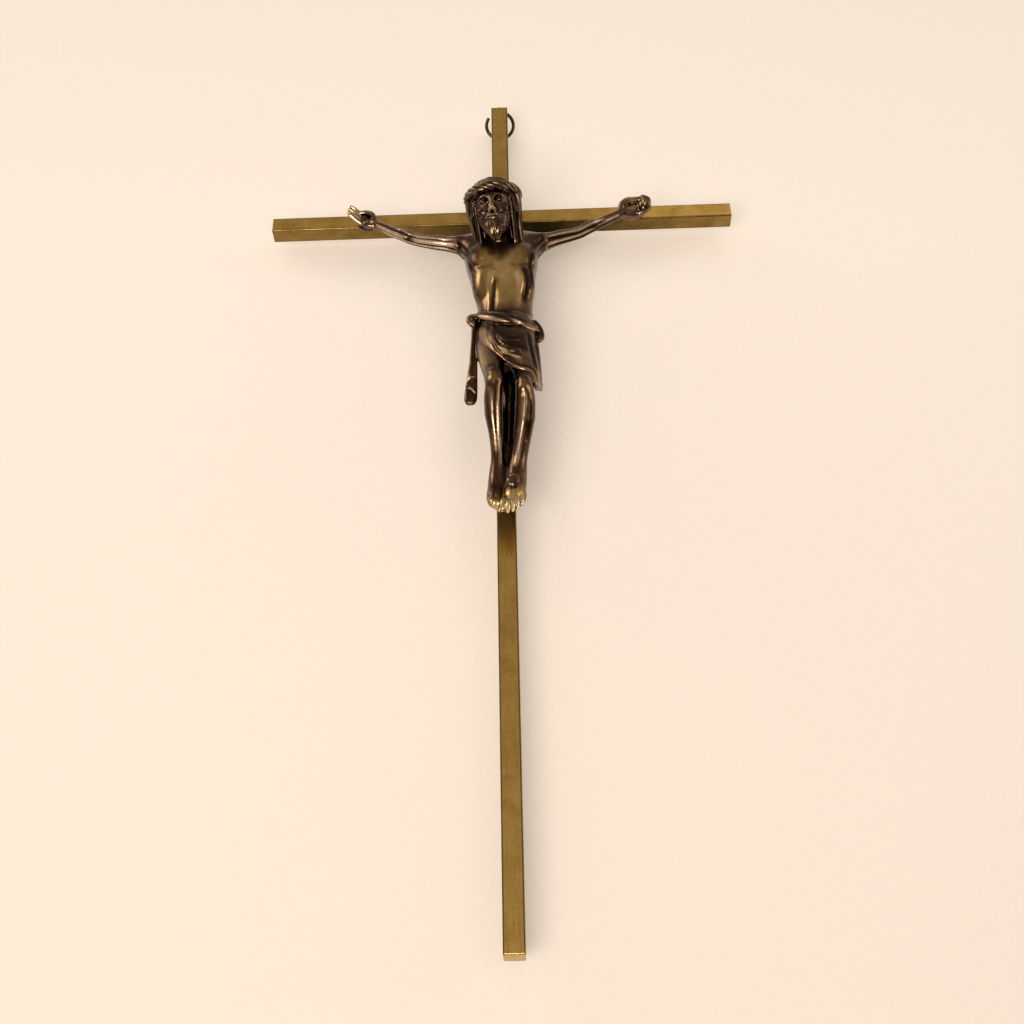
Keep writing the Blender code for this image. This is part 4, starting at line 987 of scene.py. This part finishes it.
def brass_material(name, along, middle=None, underside=False):
    """Brass with a fine drawn grain along one axis, soft cloudy tarnish and specks.

    A bar's middle (the two coordinates of its axis, in mm) adds painted shade along its edges, and underside
    adds painted shade on the lower face and a painted brighter reflection towards the right end of the other
    faces.
    """
    material, node = new_material(name)
    where = node("ShaderNodeTexCoord").outputs["Object"]
    stretch = [700.0, 700.0, 700.0]
    stretch[along] = 28.0
    grain_at = node("ShaderNodeMapping", Vector=where, Scale=stretch).outputs[0]
    grain = noise(node, grain_at, 4.0, 4.0, 0.6)
    cloud = noise(node, where, 160.0, 5.0, 0.6, 0.4)
    speck = noise(node, where, 2600.0, 3.0, 0.6)
    colour = ramp(node, cloud, [(0.28, (0.34, 0.205, 0.052)), (0.5, (0.475, 0.305, 0.082)),
                                (0.72, (0.56, 0.375, 0.12))])
    speckled = ramp(node, speck, [(0.3, 0.55), (0.42, 1.0), (1.0, 1.0)])
    tone = multiply(node, colour, speckled)
    if middle:
        place = node("ShaderNodeSeparateXYZ", Vector=where)
        sides = []
        for axis, centre in zip([a for a in range(3) if a != along], middle):
            shifted = maths(node, "SUBTRACT", place.outputs[axis], centre * MM)
            sides.append(maths(node, "ABSOLUTE", shifted))
        inmost = maths(node, "MINIMUM", sides[0], sides[1])
        # painted shade: dark lines along the bar's edges, where its bevels reflect dark
        painted_edge_shade = remap(node, inmost, 1.95 * MM, 2.12 * MM, 1.0, 0.28)
        tone = multiply(node, tone, painted_edge_shade)
    if underside:
        facing = node("ShaderNodeSeparateXYZ", Vector=node("ShaderNodeNewGeometry").outputs["True Normal"])
        lower = remap(node, facing.outputs["Z"], -0.5, -0.8)
        # painted shade on the underside, darkest a little to the right of the corpus
        shifted = maths(node, "SUBTRACT", place.outputs[along], 0.011)
        away = maths(node, "ABSOLUTE", shifted)
        uneven = node("ShaderNodeMath", {"operation": "MULTIPLY_ADD"}, i0=cloud, i1=0.016, i2=away).outputs[0]
        painted_underside_shade = ramp(node, remap(node, uneven, 0.010, 0.070),
                     [(0.0, 0.05), (0.4, 0.26), (0.65, 0.5), (1.0, 0.55)])
        # a painted brighter reflection on the other faces towards the right end
        painted_bright_end = remap(node, place.outputs[along], 0.015, 0.045, 1.04, 1.7)
        higher = node("ShaderNodeMath", {"operation": "SUBTRACT"}, i0=1.0, i1=lower).outputs[0]
        tone = multiply(node, tone, painted_bright_end, higher)
        tone = multiply(node, tone, painted_underside_shade, lower)
    rough = remap(node, grain, 0.3, 0.7, 0.24, 0.38)
    rougher = remap(node, cloud, 0.3, 0.7, 0.06, -0.03)
    total = maths(node, "ADD", rough, rougher)
    low = node("ShaderNodeBump", Strength=0.12, Distance=0.00006, Height=cloud)
    bump = node("ShaderNodeBump", Strength=0.25, Distance=0.000012, Height=grain, Normal=low.outputs[0])
    fine = node("ShaderNodeBump", Strength=0.2, Distance=0.00001, Height=speck, Normal=bump.outputs[0])
    metal = node("ShaderNodeBsdfPrincipled", Base_Color=tone, Metallic=1.0, Roughness=total,
                 Normal=fine.outputs[0])
    node("ShaderNodeOutputMaterial", Surface=metal.outputs[0])
    return material


def bronze_material(name, dark, worn, bias, rough, golden=None):
    """Cast bronze: dark patina in the hollows, rubbed bright on what stands out, cloudy and pitted, with
    painted highlights and painted shade added to the wear. Where the gold attribute says so, it is rubbed
    down to a golden colour instead."""
    material, node = new_material(name)
    where = node("ShaderNodeTexCoord").outputs["Object"]
    cloud = noise(node, where, 260.0, 5.0, 0.6, 0.3)
    speck = noise(node, where, 2400.0, 3.0, 0.65)
    # the attribute holds rubbed wear together with painted highlights and painted shade
    handled_and_lit = node("ShaderNodeAttribute", {"attribute_name": "wear"}).outputs["Fac"]
    mottle = remap(node, cloud, 0.3, 0.7, -0.12 + bias, 0.12 + bias)
    wear = remap(node, maths(node, "ADD", mottle, handled_and_lit), -0.5, 1.0)
    colours = []
    for bright in (worn, golden or worn):
        middle = tuple(0.55 * d + 0.45 * w for d, w in zip(dark, bright))
        # the brightest stop, reached by the marked lines, is a painted highlight colour as much as polished
        # metal
        polished_and_highlight = tuple(c ** 0.4 for c in bright)
        darkest = tuple(0.35 * c for c in dark)
        colours.append(ramp(node, wear, [(0.0, darkest), (0.22, dark), (0.4, middle), (0.62, bright),
                                         (1.0, polished_and_highlight)]))
    gold = node("ShaderNodeAttribute", {"attribute_name": "gold"}).outputs["Fac"]
    colour = node("ShaderNodeMix", {"data_type": "RGBA"}, i0=gold, i6=colours[0], i7=colours[1]).outputs[2]
    speckled = ramp(node, speck, [(0.3, 0.6), (0.45, 1.0), (1.0, 1.0)])
    tone = multiply(node, colour, speckled)
    roughness = remap(node, wear, 0.15, 0.65, rough, rough + 0.08)
    soft = node("ShaderNodeBump", Strength=0.18, Distance=0.00008, Height=cloud)
    fine = node("ShaderNodeBump", Strength=0.16, Distance=0.000012, Height=speck, Normal=soft.outputs[0])
    metal = node("ShaderNodeBsdfPrincipled", Base_Color=tone, Metallic=1.0, Roughness=roughness,
                 Normal=fine.outputs[0])
    node("ShaderNodeOutputMaterial", Surface=metal.outputs[0])
    return material


def paint(obj, material):
    obj.data.materials.clear()
    obj.data.materials.append(material)


# where the corpus is rubbed bright (positive) or stays dark (negative), with painted highlights and painted
# shade among them: centre, half size in mm, amount
BODY_WEAR_AND_LIGHT = [
    # painted shade over a highlight beside the left armpit crease
    ((-7.6, -14.2, -23.4), (1.6, 3.0, 3.6), -0.5),
    # a painted highlight down the breastbone
    ((-0.9, -16.5, -26.5), (1.0, 3.0, 5.0), 0.15),
    ((-5.6, -16.5, -60.0), (2.6, 3.5, 6.0), 0.4),
    ((-4.8, -17.5, -53.0), (3.5, 3.5, 4.0), -0.22),
    # the next three: painted shade over highlights on the belly and the chest's sides
    ((-4.0, -17.0, -41.5), (1.5, 2.5, 4.5), -0.22),
    ((-8.6, -14.0, -27.5), (1.6, 3.0, 4.0), -0.3),
    ((8.4, -14.0, -27.5), (1.4, 3.0, 5.0), -0.25),
    ((0.2, -17.5, -28.5), (7.0, 3.5, 7.0), 0.62),
    ((1.0, -17.0, -38.0), (6.5, 3.0, 6.5), 0.5),
    ((1.0, -14.5, -105.0), (6.0, 3.0, 3.2), 0.8),
    ((2.4, -14.5, -101.0), (2.2, 3.0, 2.6), 0.5),
    # the next two: painted shade on the web between the shins
    ((1.6, -14.0, -80.0), (1.6, 3.0, 10.0), -0.3),
    ((1.6, -19.0, -68.5), (1.6, 3.0, 3.0), -0.5),
    ((-11.0, -10.5, -22.0), (2.4, 4.0, 8.0), -0.3),
    ((11.0, -10.5, -22.0), (2.4, 4.0, 8.0), -0.3),
    ((-3.0, -18.5, -65.5), (2.4, 2.8, 4.5), 0.6),
    ((-2.6, -12.8, -99.0), (1.6, 3.0, 2.2), -0.35),
    ((-1.9, -22.6, -71.9), (1.3, 1.5, 1.6), 0.25),
    ((5.2, -22.8, -74.6), (1.3, 1.5, 1.6), 0.25),
    ((0.0, -18.0, -80.0), (9.0, 9.0, 9.0), -0.1),
    ((2.0, -17.0, -53.0), (9.0, 7.0, 6.0), -0.15),
    ((3.0, -18.5, -63.0), (7.0, 6.0, 7.0), -0.42)]
# where it is rubbed through to gold
BODY_GOLD = [
    ((-0.9, -16.5, -26.5), (0.9, 3.0, 5.0), -0.9),
    ((-2.4, -17.0, -32.4), (0.7, 2.0, 2.0), -0.8),
    ((0.2, -16.0, -31.0), (13.0, 9.0, 11.0), 2.0),
    ((1.0, -14.5, -103.0), (7.0, 4.0, 6.0), 1.6),
    ((2.4, -21.0, -62.8), (4.0, 3.0, 3.0), 1.1),
    ((-4.5, -17.5, -65.5), (4.5, 5.0, 5.5), 1.6),
    ((-2.5, -21.0, -71.5), (3.5, 3.5, 4.0), 0.6),
    ((5.0, -21.0, -74.0), (3.0, 3.5, 4.0), 0.8)]
ARM_GOLD = [
    ((-42.0, -10.5, -2.0), (3.5, 3.0, 3.5), 1.3),
    ((40.5, -10.5, -1.0), (3.0, 3.0, 3.0), 0.8)]
# in head space, see head_place: painted highlights on the face and nose, painted shade on the band under the
# crown, and the beard's tip lighter
HEAD_WEAR_AND_LIGHT = [
    ((0.0, -6.0, -2.4), (4.6, 3.0, 6.0), 0.22),
    ((0.0, -7.2, -2.4), (0.7, 0.9, 2.0), 0.3),
    ((0.0, -7.0, 3.7), (7.0, 3.0, 1.6), -0.3),
    ((0.0, -6.2, -8.6), (2.2, 2.0, 1.6), 0.3)]
# the left hand's fingers rubbed bright, painted light in the cupped right palm's hollow, and painted shade
# over the right fingertips' highlights
ARM_WEAR_AND_LIGHT = [
    ((-42.0, -10.5, -2.0), (3.0, 3.0, 3.0), 0.35),
    ((37.0, -9.9, -2.0), (2.2, 1.6, 1.8), 0.6),
    ((40.3, -11.2, -1.0), (1.8, 2.0, 2.4), -0.15)]


# ---------------------------------------------------------------- the pieces
def build_pieces():
    corpus = bronze_material("corpus bronze", (0.085, 0.045, 0.026), (0.40, 0.27, 0.17), -0.17, 0.25,
                             (0.42, 0.275, 0.10))
    hair = bronze_material("head bronze", (0.064, 0.038, 0.023), (0.34, 0.24, 0.14), -0.25, 0.25)
    arms = bronze_material("arm bronze", (0.10, 0.058, 0.040), (0.46, 0.31, 0.19), -0.12, 0.22,
                           (0.42, 0.28, 0.11))
    nail_bronze = bronze_material("nail bronze", (0.07, 0.048, 0.035), (0.26, 0.18, 0.11), -0.1, 0.28)
    dull_wire = bronze_material("ring wire", (0.06, 0.042, 0.03), (0.30, 0.21, 0.12), -0.1, 0.3)

    figure = shape_mesh("corpus_figure", sculpt_body(), patches=BODY_WEAR_AND_LIGHT, golden=BODY_GOLD)
    head = shape_mesh("corpus_head", sculpt_head(), head_place(), HEAD_WEAR_AND_LIGHT)
    for piece, look in ((figure, corpus), (head, hair)):
        paint(piece, look)
        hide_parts("corpus_body")
    right = shape_mesh("arm_on_the_left", sculpt_arm(-1), patches=ARM_WEAR_AND_LIGHT, golden=ARM_GOLD)
    left = shape_mesh("arm_on_the_right", sculpt_arm(1), patches=ARM_WEAR_AND_LIGHT, golden=ARM_GOLD)
    paint(right, arms)
    paint(left, arms)
    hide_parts("right_arm")
    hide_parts("left_arm")

    # the right hand's nail slopes up from the palm into the crossbar's front; the CAD's own shank runs
    # straight back, under the bar
    nails = [("right_hand_nail", (-38.2, -8.7, -3.4),
              [(-38.2, -3.6, -1.2), (-38.2, -3.9, -1.2), (-38.2, -5.4, -1.8)], 0.0, 11),
             ("left_hand_nail", (37.6, -8.7, -1.0), [(37.6, y, -1.0) for y in (-0.1, -0.3, -4.7)], 0.0, 12),
             ("foot_nail", (1.9, -15.25, -98.2),
              [(0.68, -1.8, -97.2), (0.7, -2.1, -97.2), (0.93, -4.7, -97.2)], math.radians(5.0), 13)]
    shown = [figure, head, right, left]
    for name, place, route, slant, seed in nails:
        piece = nail(name + "_head", np.array(place), np.array(route), slant, NAIL_RADIUS, seed)
        paint(piece, nail_bronze)
        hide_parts(name)
        shown.append(piece)
    eye = wire("eye_of_wire", eye_path(), EYE_WIRE, 20, 0.08)
    paint(eye, brass_material("eye brass", 2))
    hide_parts("eye_pin")
    shown.append(eye)
    for piece in shown:
        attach(piece, "cross")
    ring = wire("ring_of_wire", ring_path(), RING_WIRE, 28, 0.12, 0.006, 4)
    paint(ring, dull_wire)
    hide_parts("hanging_ring")
    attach(ring, "ring")
    nodes = frame["nodes"]
    paint(nodes["upright_bar"], brass_material("upright brass", 2, (0.0, -BAR / 2)))
    paint(nodes["crossbar"], brass_material("crossbar brass", 0, (-BAR / 2, 0.0), True))


# ---------------------------------------------------------------- camera, light, backdrop
LENS = 51.66
CAMERA_PLACE = (0.00725, -0.30695, -0.29807)
CAMERA_ROLL, CAMERA_YAW, CAMERA_PITCH = 0.977, 1.753, 33.21  # degrees
FIGURE_MIDDLE = (0.0, 0.0, -0.06)
CROSS_MIDDLE = (0.0, 0.0, -0.08)


def place_camera():
    data = bpy.data.cameras.new("camera")
    data.sensor_width = 36.0
    data.lens = LENS
    data.clip_start = 0.01
    data.clip_end = 10.0
    camera = bpy.data.objects.new("camera", data)
    aim = (Matrix.Rotation(math.radians(CAMERA_ROLL), 4, "Y")
           @ Matrix.Rotation(math.radians(CAMERA_YAW), 4, "Z")
           @ Matrix.Rotation(math.radians(CAMERA_PITCH), 4, "X"))
    level = Matrix.Rotation(math.radians(90.0), 4, "X")
    camera.matrix_world = Matrix.Translation(CAMERA_PLACE) @ aim @ level
    bpy.context.scene.collection.objects.link(camera)
    bpy.context.scene.camera = camera


def add_area(name, place, target, size, power, colour):
    data = bpy.data.lights.new(name, "AREA")
    data.shape = "RECTANGLE"
    data.size, data.size_y = size
    data.energy = power
    data.color = colour
    light = bpy.data.objects.new(name, data)
    light.location = place
    light.rotation_euler = (Vector(target) - Vector(place)).to_track_quat("-Z", "Y").to_euler()
    bpy.context.scene.collection.objects.link(light)


def add_backdrop():
    mesh = bpy.data.meshes.new("backdrop")
    reach, depth = 3.0, PAPER_GAP * MM
    mesh.from_pydata([(-reach, depth, -reach), (reach, depth, -reach), (reach, depth, reach),
                      (-reach, depth, reach)], [], [(0, 1, 2, 3)])
    backdrop = bpy.data.objects.new("backdrop", mesh)
    bpy.context.scene.collection.objects.link(backdrop)
    material, node = new_material("pale paper")
    where = node("ShaderNodeTexCoord").outputs["Object"]
    fibre = node("ShaderNodeTexNoise", Vector=where, Scale=900.0, Detail=4.0)
    tone = ramp(node, fibre.outputs["Fac"], [(0.3, (0.25, 0.218, 0.187)), (0.7, (0.265, 0.232, 0.198))])
    # the paper glows evenly but less where the crucifix shuts it in, a painted contact shadow, and less
    # towards the bottom, painted shade
    open_to_light = node("ShaderNodeAmbientOcclusion", {"samples": 8}, Distance=0.03)
    spread = remap(node, open_to_light.outputs["AO"], 0.05, 0.85, 0.0, 0.70)
    height = node("ShaderNodeSeparateXYZ", Vector=where)
    lower = remap(node, height.outputs["Z"], -0.22, 0.0, 0.80, 1.0)
    glow = maths(node, "MULTIPLY", spread, lower)
    paper = node("ShaderNodeBsdfPrincipled", Base_Color=tone, Roughness=0.9,
                 Emission_Color=(0.92, 0.785, 0.655, 1.0), Emission_Strength=glow)
    clear = node("ShaderNodeBsdfTransparent")
    behind = node("ShaderNodeNewGeometry").outputs["Backfacing"]
    mixed = node("ShaderNodeMixShader", Fac=behind, i1=paper.outputs[0], i2=clear.outputs[0])
    node("ShaderNodeOutputMaterial", Surface=mixed.outputs[0])
    paint(backdrop, material)
    backdrop.visible_shadow = False


def light_scene():
    world = bpy.data.worlds.new("studio")
    world.use_nodes = True
    nodes, links = world.node_tree.nodes, world.node_tree.links
    where = nodes.new("ShaderNodeTexCoord")
    height = nodes.new("ShaderNodeSeparateXYZ")
    shade = nodes.new("ShaderNodeValToRGB")
    links.new(where.outputs["Generated"], height.inputs[0])
    spread = nodes.new("ShaderNodeMapRange")
    spread.inputs[1].default_value = -1.0
    links.new(height.outputs["Z"], spread.inputs[0])
    links.new(spread.outputs[0], shade.inputs[0])
    stops = shade.color_ramp.elements
    stops[0].position, stops[0].color = 0.30, (0.16, 0.13, 0.105, 1.0)
    stops[1].position, stops[1].color = 0.56, (0.50, 0.43, 0.35, 1.0)
    links.new(shade.outputs[0], nodes["Background"].inputs["Color"])
    nodes["Background"].inputs["Strength"].default_value = 1.0
    bpy.context.scene.world = world
    add_area("key", (-0.95, -0.45, 0.62), FIGURE_MIDDLE, (0.50, 0.50), 5.0, (1.0, 0.95, 0.88))
    add_area("fill", (0.95, -0.40, 0.10), FIGURE_MIDDLE, (0.45, 0.45), 2.6, (1.0, 0.93, 0.84))
    add_area("low", (-0.16, -0.52, -0.50), FIGURE_MIDDLE, (0.34, 0.24), 6.0, (1.0, 0.90, 0.84))
    add_area("back left", (-0.6, 0.8, 0.5), CROSS_MIDDLE, (0.8, 0.8), 7.0, (1.0, 0.95, 0.88))
    add_area("back right", (0.7, 0.7, -0.2), CROSS_MIDDLE, (0.8, 0.8), 4.0, (1.0, 0.95, 0.88))
    bpy.context.scene.view_settings.view_transform = "Standard"


build_pieces()
place_camera()
add_backdrop()
light_scene()
